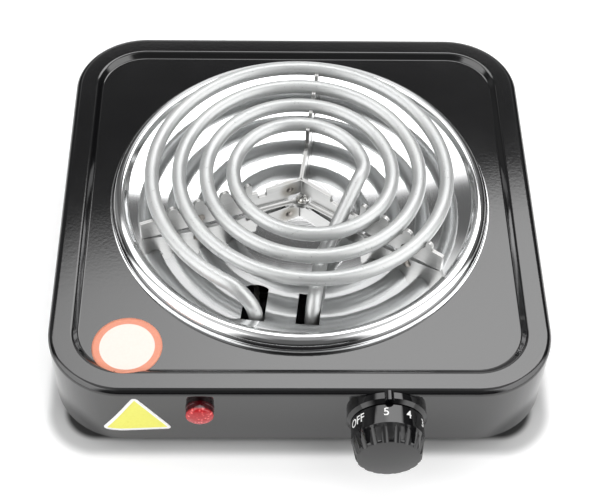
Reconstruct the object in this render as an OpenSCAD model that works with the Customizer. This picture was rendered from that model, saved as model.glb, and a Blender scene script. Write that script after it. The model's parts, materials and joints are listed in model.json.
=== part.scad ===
// Single-coil electric hot plate: a pressed steel housing with a bright drip bowl, a tubular
// heating coil on a three-armed steel support, and a thermostat knob and pilot light in front.
// Millimetres, +Z up. The front, with the knob, faces -Y, and the feet stand on z = 0.
// Every module draws its piece about the middle of the housing; on_body() then sets the
// whole appliance so that its outer box is centred on the origin.

/* [Housing] */
// Width of the housing, side to side
body_w = 220; // [212:1:240]
// Depth of the housing, front to back
body_d = 216; // [208:1:240]
// Height of the rim above the table
rim_z = 45; // [44:0.5:52]
// Height of the lower edge of the side walls above the table
skirt_z = 8; // [6:0.5:9]
// Outer corner radius, seen from above
corner_r = 34; // [30:1:38]
// Radius of the rounded top edge
edge_r = 3; // [2:0.25:4]
// Width of the raised rim, from the side to the start of the step
rim_w = 9.8; // [8:0.1:12]
// How far the top panel lies below the rim
panel_drop = 2.4; // [1.6:0.1:3]
// Thickness of the housing's sheet steel
wall = 0.8; // [0.6:0.1:1]
// Gap all round between the base plate and the side walls
base_gap = 0.4; // [0.3:0.1:0.8]

/* [Feet] */
// Distance of a foot's centre from the side wall
foot_inset = 12; // [11:0.5:15]
// Radius of a foot where it meets the base plate
foot_r = 8.8; // [7:0.1:9]

/* [Drip bowl] */
// Sideways place of the bowl's centre
bowl_x = 0.7; // [-1:0.1:1]
// Place of the bowl's centre behind the middle of the housing
bowl_y = 2.2; // [1:0.1:3]
// Radius at which the dish meets the inside of the bead
dish_r = 80; // [79:0.5:81]
// Height of the dish's floor above the table
floor_z = 39.8; // [39:0.1:41]
// Slope of the dish where it meets the bead, in degrees
dish_slope = 11; // [9:0.5:12]
// Radius of the rolled bead, at the middle of the sheet
bead_r = 4.2; // [3.8:0.1:4.6]
// Thickness of the bowl's sheet
bowl_t = 0.7; // [0.5:0.1:0.8]
// Clear width of the two slots that the coil's ends go down through
slot_w = 10.4; // [9:0.2:12]

/* [Heating coil] */
// Outer diameter of the sheathed element
tube_d = 6.6; // [6:0.1:7]
// Distance between neighbouring turns
coil_pitch = 12.6; // [12:0.1:13]
// Radius of the innermost half turn
coil_r = 30.5; // [30:0.1:31]
// Height of the coil's centreline above the table
coil_z = 57.5; // [57:0.1:59]
// Sideways place of the centre of the back half turns
coil_x = 0.2; // [0:0.1:1]
// Place of the coil's centre behind the middle of the housing
coil_y = 5; // [4.5:0.1:5.5]

/* [Coil support] */
// Thickness of the support's steel strip
strip_t = 0.8; // [0.6:0.1:1]
// Direction of the rear arm, in degrees from +X
arm_turn = 82.4; // [80:0.2:85]
// Sideways place of the point where the three arms meet
spider_x = 1.1; // [0.5:0.1:1.5]
// Height of the tops of the teeth above the table
tooth_z = 60; // [59.5:0.1:60.5]
// Height of the strips near the middle, above the table
hub_z = 53; // [51:0.5:53.5]

/* [Knob and thermostat] */
// Sideways place of the knob's axis
knob_x = 37; // [30:0.5:40]
// Height of the knob's axis above the table
knob_z = 28.7; // [27:0.1:30]
// Radius of the knob's numbered skirt
knob_r = 15.7; // [15.2:0.1:16.3]
// How far the knob stands out of the front wall
knob_reach = 23; // [21:0.5:26]
// Number of finger grooves round the grip
grooves = 18; // [14:1:20]
// Radius of the fixed ring behind the knob
bezel_r = 17.2; // [16.9:0.1:17.8]
// Radius of the thermostat's shaft
shaft_r = 3; // [2.5:0.1:3.2]
// Radial clearance between the shaft and its bush
shaft_gap = 0.05; // [0.02:0.01:0.08]

/* [Pilot light] */
// Sideways place of the lens
lamp_x = -43.2; // [-50:0.1:-35]
// Height of the lens axis above the table
lamp_z = 33; // [28:0.5:35]
// Radius of the lens dome
lens_r = 6; // [5.4:0.1:6.5]
// How far the lens stands out of the front wall
lens_reach = 5.8; // [4:0.2:7]

/* [Cord inlet] */
// Sideways place of the cord inlet in the rear wall
gland_x = -30; // [-40:1:-25]
// Height of the inlet's axis above the table
gland_z = 24; // [22:0.5:28]
// Radius of the inlet's bore
gland_bore_r = 3.6; // [3:0.1:4]
// How far the inlet stands out of the rear wall
gland_reach = 7; // [5:0.5:9]

/* [Hidden] */
$fn = 96;
eps = 0.5;              // how far a cutter runs past the face that it cuts
screw_gap = 0.05;       // radial gap round the shank of a screw
seat_gap = 0.05;        // gap between sheet pieces that lie on each other
bend_step = 7.5;        // most degrees of bend to one flat of a pressed edge,
flat_l = 8;             // and the most length
slim = 0.02;            // a tube's bends are this much slimmer than its straights, and
bite = 0.3;             // run this far into them, so that they join as one piece

body_y = (knob_reach - gland_reach) / 2;
front_y = -body_d / 2;
rear_y = body_d / 2;
tube_r = tube_d / 2;

// Rim, step and panel of the housing
step_bend_r = 1.6;
step_angle = 45;
step_run = (panel_drop - 2 * step_bend_r * (1 - cos(step_angle))) / sin(step_angle);
step_w = 2 * step_bend_r * sin(step_angle) + step_run * cos(step_angle);
panel_z = rim_z - panel_drop;
bowl_hole_r = dish_r + 2;
bush_hole_gap = 0.6;     // radial room round the thermostat's bush
lens_hole_gap = 0.15;    // and round the lens's stem

// Base plate
base_z = skirt_z + 1.2;
base_t = 0.8;
base_rim_w = 20;
base_rise = 2;
base_bend_r = 2;
base_slope = 30;
field_z = base_z + base_t + base_rise;
vent_l = 26;
vent_w = 3.2;
vent_pitch = 8;
vent_rows = 7;

// Feet and their screws
foot_taper = 1.4;
foot_recess_r = 4.4;
foot_recess_z = 4.5;
m4_r = 1.95;
m4_head_r = 3.8;
m4_head_h = 2.4;
bracket_t = 1.2;
bracket_w = 16;
bracket_h = 18;
bracket_bend_r = 2;
foot_x = body_w / 2 - foot_inset;
foot_y = body_d / 2 - corner_r - bracket_w / 2;
foot_screw_top = base_z + base_t + bracket_t + 5;

// Drip bowl
floor_flat_r = 10;
bead_step_r = 1.6;
bead_step_angle = 50;
bead_step_run = 1.6;
lip_bend_r = 0.9;
lip_run = 0.3;
tab_t = 0.8;
tab_w = 12;
tab_reach = 5;
tab_lap = 9;
tab_angles = [45, 165, 285];

// Coil: half turns about two centres half a pitch apart
back_turns = 4;
front_turns = 3;
coil_front_x = coil_x + coil_pitch / 2;
tail_r = coil_r + (back_turns - 0.5) * coil_pitch;
tail_angle = 58;
tail_dive_r = 16;
lead_start = 14;        // where the inner half turn begins, in degrees from +X
lead_turn_r = 12;
lead_heading = 25;      // degrees to the left of straight forward
lead_slope = 15;
lead_bend_r = 14;
lead_drop = 9.8;
lead_straighten = 16;
lead_level_run = 16;
lead_dive_r = 13;
lead_join = 1.5;        // short straights between bends
pin_top_z = 30;
seal_h = 5;
seal_r = 2.9;
pin_r = 1.2;
pin_z = 16;
sleeve_h = 6;
sleeve_r = 2.2;

// Coil support
arms = [for (k = [0:2]) arm_turn + 120 * k];
seat_play = 0.3;        // gap between a turn and the notch that carries it
land_z = 56;
notch_r = 6.8;          // the strips are cut away this far out over the screw's head,
notch_z = 44.4;         // up to this height
relief_z = 49.4;
relief_r = 17.5;
relief_l = 4.6;
relief_corner_r = 1;
inner_tooth_w = 3.2;
tooth_w = coil_pitch - tube_d - 2 * seat_play - 0.6;
outer_tooth_room = 10;
tip_bowl_r = 77.6;      // bowl radius at which the arms end
hub_bend_r = 1;
strip_gap = 0.1;
strip_face = strip_gap / 2 + strip_t;
flange_inset = 0.25;    // how far the flange reaches into the wing's sheet
flange_w = 2.8;
flange_bend_r = 1.8;
flange_end = 28;
lug_r = 5.8;
lug_inset = 0.4;
lug_w = 2.5;
lug_arm = 2.5 * strip_t;
rivet_r = 1.5;
rivet_head = [2.4, 0.8];
inner_rivet_r = 1.1;
inner_rivet_head = [1.9, 0.4];
inner_rivet = [6, 48.5];
outer_rivet_z = 48;
m4_nut_r = 4;
m4_nut_h = 3.2;
screw_shift = [0.9, -2.4];
centre_rim = [3.2, 0.9];
centre_head = [1.9, 1.8];
washer_r = 4.6;
washer_t = 0.8;

// Knob
knob_back = 4.9;
skirt_front = 13.4;
knob_bevel = 0.3;
shoulder_r = knob_r - 0.2;
grip_r = knob_r - 1.4;
grip_edge_r = 1.4;
dome_rise = 0.9;
knob_wall = 1.8;
groove_r = 2.3;
groove_depth = 1.4;
groove_start = 14.6;
hub_r = 5.6;
hub_back = 6;
hub_depth = 11;
flat_y = 2;             // distance of the shaft's flat from its axis
clip_t = 0.5;
clip_w = 4.4;
clip_l = 8;
bezel_h = 4.5;
bezel_web = 1.3;
bezel_wall = 1.8;
bezel_edge = 1.5;
bezel_hole_r = 8.5;
pointer_r = 2;

// Thermostat
bush_r = 4.6;
bush_front = 2.6;
bush_flange_r = 6.2;
bush_flange_t = 1;
frame_t = 1.2;
frame_back = wall + frame_t;
frame_h = 18;
frame_left = 17;
frame_right = 32;
frame_lip = 5;
thermo_screw_x = 12.1;
m3_r = 1.75;
m3_head_r = 2.9;
m3_head_h = 1.7;
m3_l = 6;
stack_x = 25;
ring_r = 5;
spring_t = 0.6;
ring_h = [4, 2.6, 2.6, 3];
strip_w = 7;
strip_inner = 4;
strip_outer = 8;
contact_r = 1.5;
contact_x = 6;
contact_gap = 0.2;
collar_r = 4.2;
collar_t = 1.5;
tip_r = 1.8;
tip_gap = 0.1;

// Pilot light
lens_flange_r = lens_r + 0.2;
lens_flange_t = 1.2;
lens_stem_r = 4.75;
lens_stem_l = 7;
lens_bore_r = 3.3;
neon_r = 3;
neon_l = 12;
lens_clip_r = 7.6;
lens_clip_t = 0.7;

// Cord inlet and terminals
gland_neck = [12.6, 10.6];
gland_flange = [16, 14];
gland_flange_t = 2.5;
gland_inner_t = 2.5;
gland_nose_r = 5.6;
gland_tip_r = 4.8;
block_size = [24, 18, 12];
block_y = rear_y - 46;
pole_x = 5.5;
insert_r = 2.6;
insert_bore_r = 1.6;
block_screw_r = 1.5;
block_screw_y = 5;
block_screw_h = 5;
earth_dx = 26;
earth_y = rear_y - 30;
wire_r = 1.3;
wire_bend_r = 8;
wire_drop_r = 5;
wire_z = field_z + seat_gap + block_size.z / 2;
wire_slant = 30;        // degrees that a wire turns aside to reach its pole
wire_straight = 30;
feed_lane = 8;          // the feed wire's lane lies this far right of the thermostat
feed_turn = 22;         // and it turns back this far in front of the terminal block
lamp_wire_r = 0.8;
lamp_wire_x = 1.4;
lamp_bend_r = 6;
lamp_slant = 60;
lamp_wire_z = wire_z + wire_r + lamp_wire_r + 0.2;

// Points of a path that starts at p with heading h and follows moves. A move is ["go", length]
// or ["bend", radius, angle], where a positive angle turns left. Each point is [x, y, heading].
function flats(r, angle) = ceil(max(abs(angle) / bend_step, abs(angle) * PI / 180 * r / flat_l));
function bend_points(p, h, r, angle) =
    let (s = sign(angle), n = flats(r, angle), c = [p.x - s * r * sin(h), p.y + s * r * cos(h)])
    [for (k = [1:n]) let (a = h + angle * k / n) [c.x + s * r * sin(a), c.y - s * r * cos(a), a]];
function move_points(p, h, m) =
    m[0] == "go" ? [[p.x + m[1] * cos(h), p.y + m[1] * sin(h), h]] : bend_points(p, h, m[1], m[2]);
function last(list) = list[len(list) - 1];
function walk(p, h, moves, i = 0) =
    i >= len(moves) ? [[p.x, p.y, h]] :
    let (q = move_points(p, h, moves[i]), e = last(q))
    concat(i == 0 ? [[p.x, p.y, h]] : [], q, i == len(moves) - 1 ? [] : walk_on(e, moves, i + 1));
function walk_on(e, moves, i) =
    let (q = move_points([e.x, e.y], e.z, moves[i]), f = last(q))
    concat(q, i == len(moves) - 1 ? [] : walk_on(f, moves, i + 1));

// Outline of a sheet of thickness t whose middle follows such a path, to a thousandth
function snap(v) = round(v * 1000) / 1000;
function side_of(path, d) = [for (q = path) [snap(q.x - d * sin(q.z)), snap(q.y + d * cos(q.z))]];
function reversed(list) = [for (i = [len(list) - 1:-1:0]) list[i]];
function sheet_outline(path, t) = concat(side_of(path, t / 2), reversed(side_of(path, -t / 2)));

// Outline of a rectangle with round corners, about the origin
function rounded_rect(w, h, r) =
    [for (q = [[1, 1, 0], [-1, 1, 90], [-1, -1, 180], [1, -1, 270]], k = [0:6])
        let (a = q.z + 15 * k) [q.x * (w / 2 - r) + r * cos(a), q.y * (h / 2 - r) + r * sin(a)]];

// Height of the dish's upper face at a distance from the bowl's centre
dish_bend_r = (dish_r - floor_flat_r) / sin(dish_slope);
function dish_angle(r) = asin(max(0, r - floor_flat_r) / dish_bend_r);
function dish_top(r) = floor_z + dish_bend_r * (1 - cos(dish_angle(r)));

// Distance from the middle of the support, along direction a, to a circle of radius r about c
function reach(a, c, r) =
    let (oc = [spider_x, coil_y] - c, b = oc * [cos(a), sin(a)])
    -b + sqrt(b * b - oc * oc + r * r);
function at_back(a) = sin(a) > 0;
function has_tail(a) = !at_back(a) && a < 180 + tail_angle;
function turn_hits(a) = at_back(a)
    ? [for (k = [0:back_turns - 1]) reach(a, [coil_x, coil_y], coil_r + coil_pitch * k)]
    : [for (k = [0:front_turns - (has_tail(a) ? 0 : 1)])
        reach(a, [coil_front_x, coil_y], coil_r + coil_pitch * (k + 0.5))];
function tip_reach(a) = reach(a, [bowl_x, bowl_y], tip_bowl_r);
function strip_bottom(a, r) =
    floor_z + seat_gap + (dish_top(tip_bowl_r) + 0.05 - floor_z) * r / tip_reach(a);

// Where the coil's two ends go down, seen from above
tail_dir = 180 + tail_angle;
tail_end = [coil_front_x + tail_r * cos(tail_dir) - tail_dive_r * sin(tail_dir),
    coil_y + tail_r * sin(tail_dir) + tail_dive_r * cos(tail_dir)];
lead_run = (lead_drop - 2 * lead_bend_r * (1 - cos(lead_slope))) / sin(lead_slope);
lead_forward = 2 * lead_bend_r * sin(lead_slope) + lead_run * cos(lead_slope) + 2 * lead_join;
lead_path = walk([coil_x + coil_r * cos(lead_start), coil_y + coil_r * sin(lead_start)],
    lead_start - 90, [
        ["bend", lead_turn_r, -(lead_start + lead_heading)],
        ["go", lead_forward],
        ["bend", lead_bend_r, lead_straighten],
        ["go", lead_level_run + lead_dive_r]]);
lead_end = [last(lead_path).x, last(lead_path).y];
screw_at = [spider_x, coil_y] + screw_shift;

// The whole appliance, moved so that its outer box is centred
module on_body() {
    translate([0, body_y, 0]) children();
}

module at_front(x, z) {
    translate([x, front_y, z]) rotate([90, 0, 0]) children();
}

module at_rear(x, z) {
    translate([x, rear_y, z]) rotate([-90, 0, 0]) children();
}

module at_feet() {
    for (sx = [-1, 1], sy = [-1, 1])
        translate([sx * foot_x, sy * foot_y, 0]) children();
}

module at_bowl() {
    translate([bowl_x, bowl_y, 0]) children();
}

// A pressed edge carried round a rounded rectangle. The outline's x is the distance inward
// from the outside and may not pass the corner radius.
module formed_edge(w, d, r, outline) {
    for (k = [0:3]) {
        side = k % 2 == 0 ? w - 2 * r : d - 2 * r;
        off = k % 2 == 0 ? d / 2 : w / 2;
        rotate([0, 0, 90 * k]) {
            translate([-side / 2, -off, 0]) rotate([90, 0, 90]) linear_extrude(side) polygon(outline);
            translate([side / 2, r - off, 0]) rotate([0, 0, -90]) rotate_extrude(angle = 90)
                polygon([for (p = outline) [r - p.x, p.y]]);
        }
    }
}

// A round tube or wire that follows moves from the origin along +Z. A move is ["go", length] or
// ["bend", radius, angle, roll], where roll picks the side it bends to.
module tube_run(r, moves, i = 0) {
    if (i < len(moves)) {
        m = moves[i];
        if (m[0] == "go") {
            cylinder(r = r, h = m[1]);
            translate([0, 0, m[1]]) tube_run(r, moves, i + 1);
        } else {
            more = bite / m[1] * 180 / PI;
            rotate([0, 0, m[3]]) {
                translate([m[1], 0, 0]) rotate([90, 0, 0]) rotate([0, 0, 180 - m[2] - more])
                    rotate_extrude(angle = m[2] + 2 * more) translate([m[1], 0]) circle(r = r - slim);
                translate([m[1] * (1 - cos(m[2])), 0, m[1] * sin(m[2])]) rotate([0, m[2], 0])
                    rotate([0, 0, -m[3]]) tube_run(r, moves, i + 1);
            }
        }
    }
}

module ring(r, bore, h) {
    difference() {
        cylinder(r = r, h = h);
        translate([0, 0, -eps]) cylinder(r = bore, h = h + 2 * eps);
    }
}

// A pan-head screw: the head's underside on z = 0, the shank down to -l
module pan_screw(r, l, head_r, head_h) {
    crown = head_r * 2.2;
    difference() {
        union() {
            translate([0, 0, -l]) cylinder(r = r, h = l + head_h / 2);
            intersection() {
                cylinder(r = head_r, h = head_h);
                translate([0, 0, head_h - crown]) sphere(r = crown, $fn = 128);
            }
        }
        for (a = [0, 90])
            rotate([0, 0, a]) translate([-head_r * 0.55, -head_r * 0.1, head_h * 0.5])
                cube([head_r * 1.1, head_r * 0.2, head_h]);
    }
}

module hex_nut(r, h, bore) {
    difference() {
        cylinder(r = r, h = h, $fn = 6);
        translate([0, 0, -eps]) cylinder(r = bore, h = h + 2 * eps);
    }
}

module top_housing() color([0.06, 0.06, 0.065]) on_body() {
    rim_run = rim_w - edge_r;
    edge = walk([wall / 2, skirt_z], 90, [
        ["go", rim_z - edge_r - skirt_z],
        ["bend", edge_r - wall / 2, -90],
        ["go", rim_run],
        ["bend", step_bend_r, -step_angle],
        ["go", step_run],
        ["bend", step_bend_r, step_angle],
        ["go", corner_r - rim_w - step_w]]);
    difference() {
        union() {
            formed_edge(body_w, body_d, corner_r, sheet_outline(edge, wall));
            translate([corner_r - body_w / 2, corner_r - body_d / 2, panel_z - wall])
                cube([body_w - 2 * corner_r, body_d - 2 * corner_r, wall]);
        }
        at_bowl() translate([0, 0, panel_z - wall - eps]) cylinder(r = bowl_hole_r, h = wall + 2 * eps);
        at_front(knob_x, knob_z) translate([0, 0, -wall - eps]) {
            cylinder(r = bush_r + bush_hole_gap, h = wall + 2 * eps);
            for (s = [-1, 1])
                translate([s * thermo_screw_x, 0, 0]) cylinder(r = m3_r + screw_gap, h = wall + 2 * eps);
        }
        at_front(lamp_x, lamp_z) translate([0, 0, -wall - eps])
            cylinder(r = lens_stem_r + lens_hole_gap, h = wall + 2 * eps);
        at_rear(gland_x, gland_z) translate([0, 0, -wall / 2])
            cube([gland_neck.x + 0.4, gland_neck.y + 0.4, wall + 2 * eps], center = true);
    }
}

module vent_slot() {
    end_r = vent_w / 2;
    translate([end_r - vent_l / 2, -end_r, 0]) cube([vent_l - vent_w, vent_w, base_t + 2 * eps]);
    for (s = [-1, 1])
        translate([s * (vent_l / 2 - end_r), 0, 0]) cylinder(r = end_r, h = base_t + 2 * eps);
}

module base_plate() color([0.62, 0.63, 0.64]) on_body() {
    w = body_w - 2 * (wall + base_gap);
    d = body_d - 2 * (wall + base_gap);
    r = corner_r - wall - base_gap;
    rise_run = (base_rise - 2 * base_bend_r * (1 - cos(base_slope))) / sin(base_slope);
    rise_w = 2 * base_bend_r * sin(base_slope) + rise_run * cos(base_slope);
    edge = walk([0, base_z + base_t / 2], 0, [
        ["go", base_rim_w],
        ["bend", base_bend_r, base_slope],
        ["go", rise_run],
        ["bend", base_bend_r, -base_slope],
        ["go", r - base_rim_w - rise_w]]);
    difference() {
        union() {
            formed_edge(w, d, r, sheet_outline(edge, base_t));
            translate([r - w / 2, r - d / 2, field_z - base_t]) cube([w - 2 * r, d - 2 * r, base_t]);
        }
        at_feet() translate([0, 0, base_z - eps]) cylinder(r = m4_r + screw_gap, h = base_t + 2 * eps);
        for (sx = [-1, 1], row = [0:vent_rows - 1])
            translate([sx * vent_l * 0.75, (row - (vent_rows - 1) / 2) * vent_pitch - 8,
                field_z - base_t - eps]) vent_slot();
        translate([gland_x + earth_dx, earth_y, field_z - base_t - eps])
            cylinder(r = m4_r + screw_gap, h = base_t + 2 * eps);
    }
}

module rubber_feet() color([0.09, 0.09, 0.09]) on_body() at_feet() {
    difference() {
        rotate_extrude() polygon([
            [0, 0], [foot_r - foot_taper - 0.8, 0], [foot_r - foot_taper, 0.8],
            [foot_r, base_z - 1], [foot_r, base_z], [0, base_z]]);
        translate([0, 0, -eps]) cylinder(r = foot_recess_r, h = foot_recess_z + eps);
        cylinder(r = m4_r + 0.25, h = base_z + eps);
    }
}

module foot_screws() color([0.75, 0.76, 0.78]) on_body() at_feet() {
    translate([0, 0, foot_recess_z]) rotate([180, 0, 0])
        pan_screw(m4_r, foot_screw_top - foot_recess_z, m4_head_r, m4_head_h);
}

module corner_brackets() color([0.7, 0.71, 0.72]) on_body() {
    inner = body_w / 2 - wall - base_gap - base_rim_w + 1.2;
    outer = body_w / 2 - wall;
    z = base_z + base_t + bracket_t / 2;
    turn = bracket_bend_r + bracket_t / 2;
    path = walk([inner, z], 0, [
        ["go", outer - bracket_t / 2 - turn - inner],
        ["bend", turn, 90],
        ["go", bracket_h - turn]]);
    for (sx = [0, 1], sy = [-1, 1])
        mirror([sx, 0, 0]) translate([0, sy * foot_y, 0]) difference() {
            translate([0, bracket_w / 2, 0]) rotate([90, 0, 0]) linear_extrude(bracket_w)
                polygon(sheet_outline(path, bracket_t));
            translate([foot_x, 0, base_z]) cylinder(r = m4_r + screw_gap, h = 2 * bracket_t + base_t);
        }
}

dish_moves = [
    ["go", floor_flat_r],
    ["bend", dish_bend_r + bowl_t / 2, dish_slope],
    ["bend", bead_step_r, bead_step_angle - dish_slope],
    ["go", bead_step_run],
    ["bend", bead_step_r, -bead_step_angle]];
dish_path = walk([0, floor_z - bowl_t / 2], 0, dish_moves);
crest = last(dish_path);
lip_z = panel_z + bowl_t / 2;
bowl_path = walk([0, floor_z - bowl_t / 2], 0, concat(dish_moves, [
    ["bend", bead_r, -90],
    ["go", crest.y - bead_r - lip_z - lip_bend_r],
    ["bend", lip_bend_r, 90],
    ["go", lip_run]]));

// The two slots for the coil's ends. The left one is longer and has an arched far end.
slot_ahead = [4.2, 5.9];
slot_behind = [17.8, 12.7];
slot_shift = [-1.2, -1.5];
slot_turn = 6;          // the bowl sits a little turned, so its slots run askew
slot_arch_r = 8;
module lead_slots() {
    for (i = [0, 1]) {
        end = i == 0 ? tail_end : lead_end;
        len_y = slot_ahead[i] + slot_behind[i];
        arch = i == 0 ? slot_arch_r : 0;
        translate([end.x + slot_shift[i], end.y, floor_z - 2])
            linear_extrude(12) rotate(-slot_turn) translate([-slot_w / 2, -slot_ahead[i]]) {
                square([slot_w, len_y - arch]);
                if (arch > 0)
                    intersection() {
                        square([slot_w, len_y]);
                        translate([slot_w / 2, len_y - arch]) circle(r = arch);
                    }
            }
    }
}

module drip_bowl() color([0.86, 0.87, 0.88]) on_body() difference() {
    at_bowl() rotate_extrude($fn = 180) polygon(sheet_outline(bowl_path, bowl_t));
    lead_slots();
    translate([screw_at.x, screw_at.y, floor_z - 2]) cylinder(r = m4_r + 0.2, h = 4);
}

// Strips under the dish, bent down through the hole and out under the panel
module bowl_tabs() color([0.7, 0.71, 0.72]) on_body() at_bowl() {
    tab_r = bowl_hole_r - 1;
    start_r = tab_r - tab_lap;
    slope = dish_angle(start_r + tab_lap / 2);
    turn = 1;
    drop = 90 + slope;
    top = dish_top(start_r) - bowl_t - seat_gap - tab_t / 2 - 0.1;
    lap = (tab_r - start_r - turn * (sin(slope) + 1)) / cos(slope);
    down = walk([start_r, top], slope, [["go", lap], ["bend", turn, -drop]]);
    under_z = panel_z - wall - seat_gap - tab_t / 2;
    path = walk([start_r, top], slope, [
        ["go", lap],
        ["bend", turn, -drop],
        ["go", last(down).y - under_z - turn],
        ["bend", turn, 90],
        ["go", tab_reach]]);
    for (a = tab_angles)
        rotate([0, 0, a]) translate([0, tab_w / 2, 0]) rotate([90, 0, 0]) linear_extrude(tab_w)
            polygon(sheet_outline(path, tab_t));
}

// One flat arc of the coil, from angle a0 through sweep, about x = cx
module flat_arc(cx, r, a0, sweep) {
    translate([cx, coil_y, coil_z]) rotate([0, 0, a0]) rotate_extrude(angle = sweep)
        translate([r, 0]) circle(r = tube_r);
}

module heating_coil() color([0.72, 0.74, 0.74]) on_body() {
    translate([coil_x, coil_y, coil_z]) mirror([1, 0, 0]) rotate_extrude(angle = 180 - lead_start)
        translate([coil_r, 0]) circle(r = tube_r);
    for (k = [1:back_turns - 1])
        flat_arc(coil_x, coil_r + coil_pitch * k, 0, 180);
    for (k = [0:front_turns - 1])
        flat_arc(coil_front_x, coil_r + coil_pitch * (k + 0.5), 180, 180);
    flat_arc(coil_front_x, tail_r, 180, tail_angle);
    translate([coil_front_x, coil_y, coil_z]) rotate([0, 0, tail_dir]) translate([tail_r, 0, 0])
        rotate([-90, 0, 0]) tube_run(tube_r, [
            ["bend", tail_dive_r, 90, 90],
            ["go", coil_z - tail_dive_r - pin_top_z]]);
    translate([coil_x, coil_y, coil_z]) rotate([0, 0, lead_start]) translate([coil_r, 0, 0])
        rotate([90, 0, 0]) tube_run(tube_r, [
            ["bend", lead_turn_r, lead_start + lead_heading, 180],
            ["go", lead_join],
            ["bend", lead_bend_r, lead_slope, -90],
            ["go", lead_run],
            ["bend", lead_bend_r, lead_slope, 90],
            ["go", lead_join],
            ["bend", lead_bend_r, lead_straighten, 0],
            ["go", lead_level_run],
            ["bend", lead_dive_r, 90, -90],
            ["go", coil_z - lead_drop - lead_dive_r - pin_top_z]]);
}

module at_pins() {
    for (end = [tail_end, lead_end])
        translate([end.x, end.y, 0]) children();
}

module coil_end_seals() color([0.92, 0.9, 0.84]) on_body() at_pins() {
    translate([0, 0, pin_top_z - seal_h]) difference() {
        rotate_extrude() polygon([
            [0, 0], [seal_r - 1, 0], [seal_r, 1.4], [seal_r, seal_h - seat_gap], [0, seal_h - seat_gap]]);
        translate([0, 0, -eps]) cylinder(r = pin_r + 0.05, h = seal_h + 2 * eps);
    }
}

module terminal_pins() color([0.7, 0.7, 0.7]) on_body() at_pins() {
    translate([0, 0, pin_z]) cylinder(r = pin_r, h = pin_top_z - seat_gap - pin_z);
}

module crimp_sleeves() color([0.8, 0.78, 0.7]) on_body() at_pins() {
    translate([0, 0, wire_z - sleeve_h / 2]) ring(sleeve_r, pin_r + 0.05, sleeve_h);
}

// The round-cornered bottom of the gap that ends at a distance from the middle
function relief_bottom(end) =
    [for (c = [[end - relief_corner_r, 0], [relief_r + relief_corner_r, -90]], k = [0:4])
        [c.x, relief_z + relief_corner_r] + relief_corner_r * [cos(c.y - 22.5 * k), sin(c.y - 22.5 * k)]];

// One wing of a support strip, drawn along +X
module wing_outline(a) {
    hits = turn_hits(a);
    tip = tip_reach(a);
    start = (strip_face + hub_bend_r) / tan(60);
    first_tooth = hits[0] - tube_r - seat_play - inner_tooth_w / 2;
    tooth_edge = first_tooth - inner_tooth_w / 2;
    relief_end = a == arms[2] ? tooth_edge : relief_r + relief_l;
    has_outer = tip - last(hits) > outer_tooth_room;
    outer_tooth = last(hits) + tube_r + seat_play + inner_tooth_w / 2;
    mids = [for (i = [1:len(hits) - 1]) [(hits[i] + hits[i - 1]) / 2, tooth_w]];
    teeth = concat([[first_tooth, inner_tooth_w]], mids, has_outer ? [[outer_tooth, inner_tooth_w]] : []);
    difference() {
        union() {
            polygon(concat(
                [[start, notch_z], [notch_r, notch_z], [notch_r, strip_bottom(a, notch_r)]],
                [[tip, strip_bottom(a, tip)], [tip, land_z], [tooth_edge, land_z]],
                relief_end < tooth_edge ? [[tooth_edge, hub_z], [relief_end, hub_z]] : [],
                relief_bottom(relief_end),
                [[relief_r, hub_z], [start, hub_z]]));
            for (t = teeth) {
                translate([t[0] - t[1] / 2, land_z - 1]) square([t[1], tooth_z - t[1] / 2 - land_z + 1]);
                translate([t[0], tooth_z - t[1] / 2]) circle(d = t[1]);
            }
        }
        for (h = hits) {
            translate([h, coil_z]) circle(r = tube_r + seat_play);
            translate([h - tube_r - seat_play, coil_z]) square([2 * (tube_r + seat_play), tooth_z]);
        }
        translate([(hits[1] + hits[2]) / 2, outer_rivet_z]) circle(r = rivet_r + screw_gap);
        if (a == arms[1])
            translate(inner_rivet) circle(r = inner_rivet_r + screw_gap);
    }
}

// The wing in its place. side is 1 or -1: the side of the arm that it lies on.
module wing(a, side) {
    rotate([0, 0, a]) translate([0, side > 0 ? strip_face : -strip_gap / 2, 0])
        rotate([90, 0, 0]) linear_extrude(strip_t) wing_outline(a);
}

// A strip bent to 120 degrees: one wing on arm a, the other on the next arm round
module support_strip(a) {
    bend_off = (strip_face + hub_bend_r) / sin(60);
    translate([spider_x, coil_y, 0]) {
        wing(a, 1);
        wing(a + 120 > 360 ? a - 240 : a + 120, -1);
        rotate([0, 0, a + 60]) translate([bend_off, 0, notch_z + slim]) rotate([0, 0, 147])
            rotate_extrude(angle = 66) translate([hub_bend_r + slim, 0])
                square([strip_t - 2 * slim, hub_z - notch_z - 2 * slim]);
    }
}

module support_rear_left() color([0.6, 0.61, 0.6]) on_body() support_strip(arms[0]);

module support_rear_right() color([0.6, 0.61, 0.6]) on_body() support_strip(arms[2]);

// The foot flange along a wing of the front strip, bent out of it through an inner radius
module foot_flange(a, side) {
    root = strip_gap / 2 + flange_inset;
    slope = atan((strip_bottom(a, flange_end) - strip_bottom(a, notch_r)) / (flange_end - notch_r));
    bend_x = strip_face - 3 * slim + flange_bend_r;
    section = concat(
        [[root, 0], [flange_w, 0], [flange_w, strip_t]],
        [for (k = [0:6]) [bend_x, strip_t + flange_bend_r] - flange_bend_r * [sin(15 * k), cos(15 * k)]],
        [[root, strip_t + flange_bend_r]]);
    rotate([0, 0, a]) translate([notch_r, 0, strip_bottom(a, notch_r) + slim]) rotate([0, -slope, 0])
        rotate([90, 0, 90]) linear_extrude((flange_end - notch_r) / cos(slope))
            polygon([for (p = section) [side * p.x, p.y]]);
}

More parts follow.
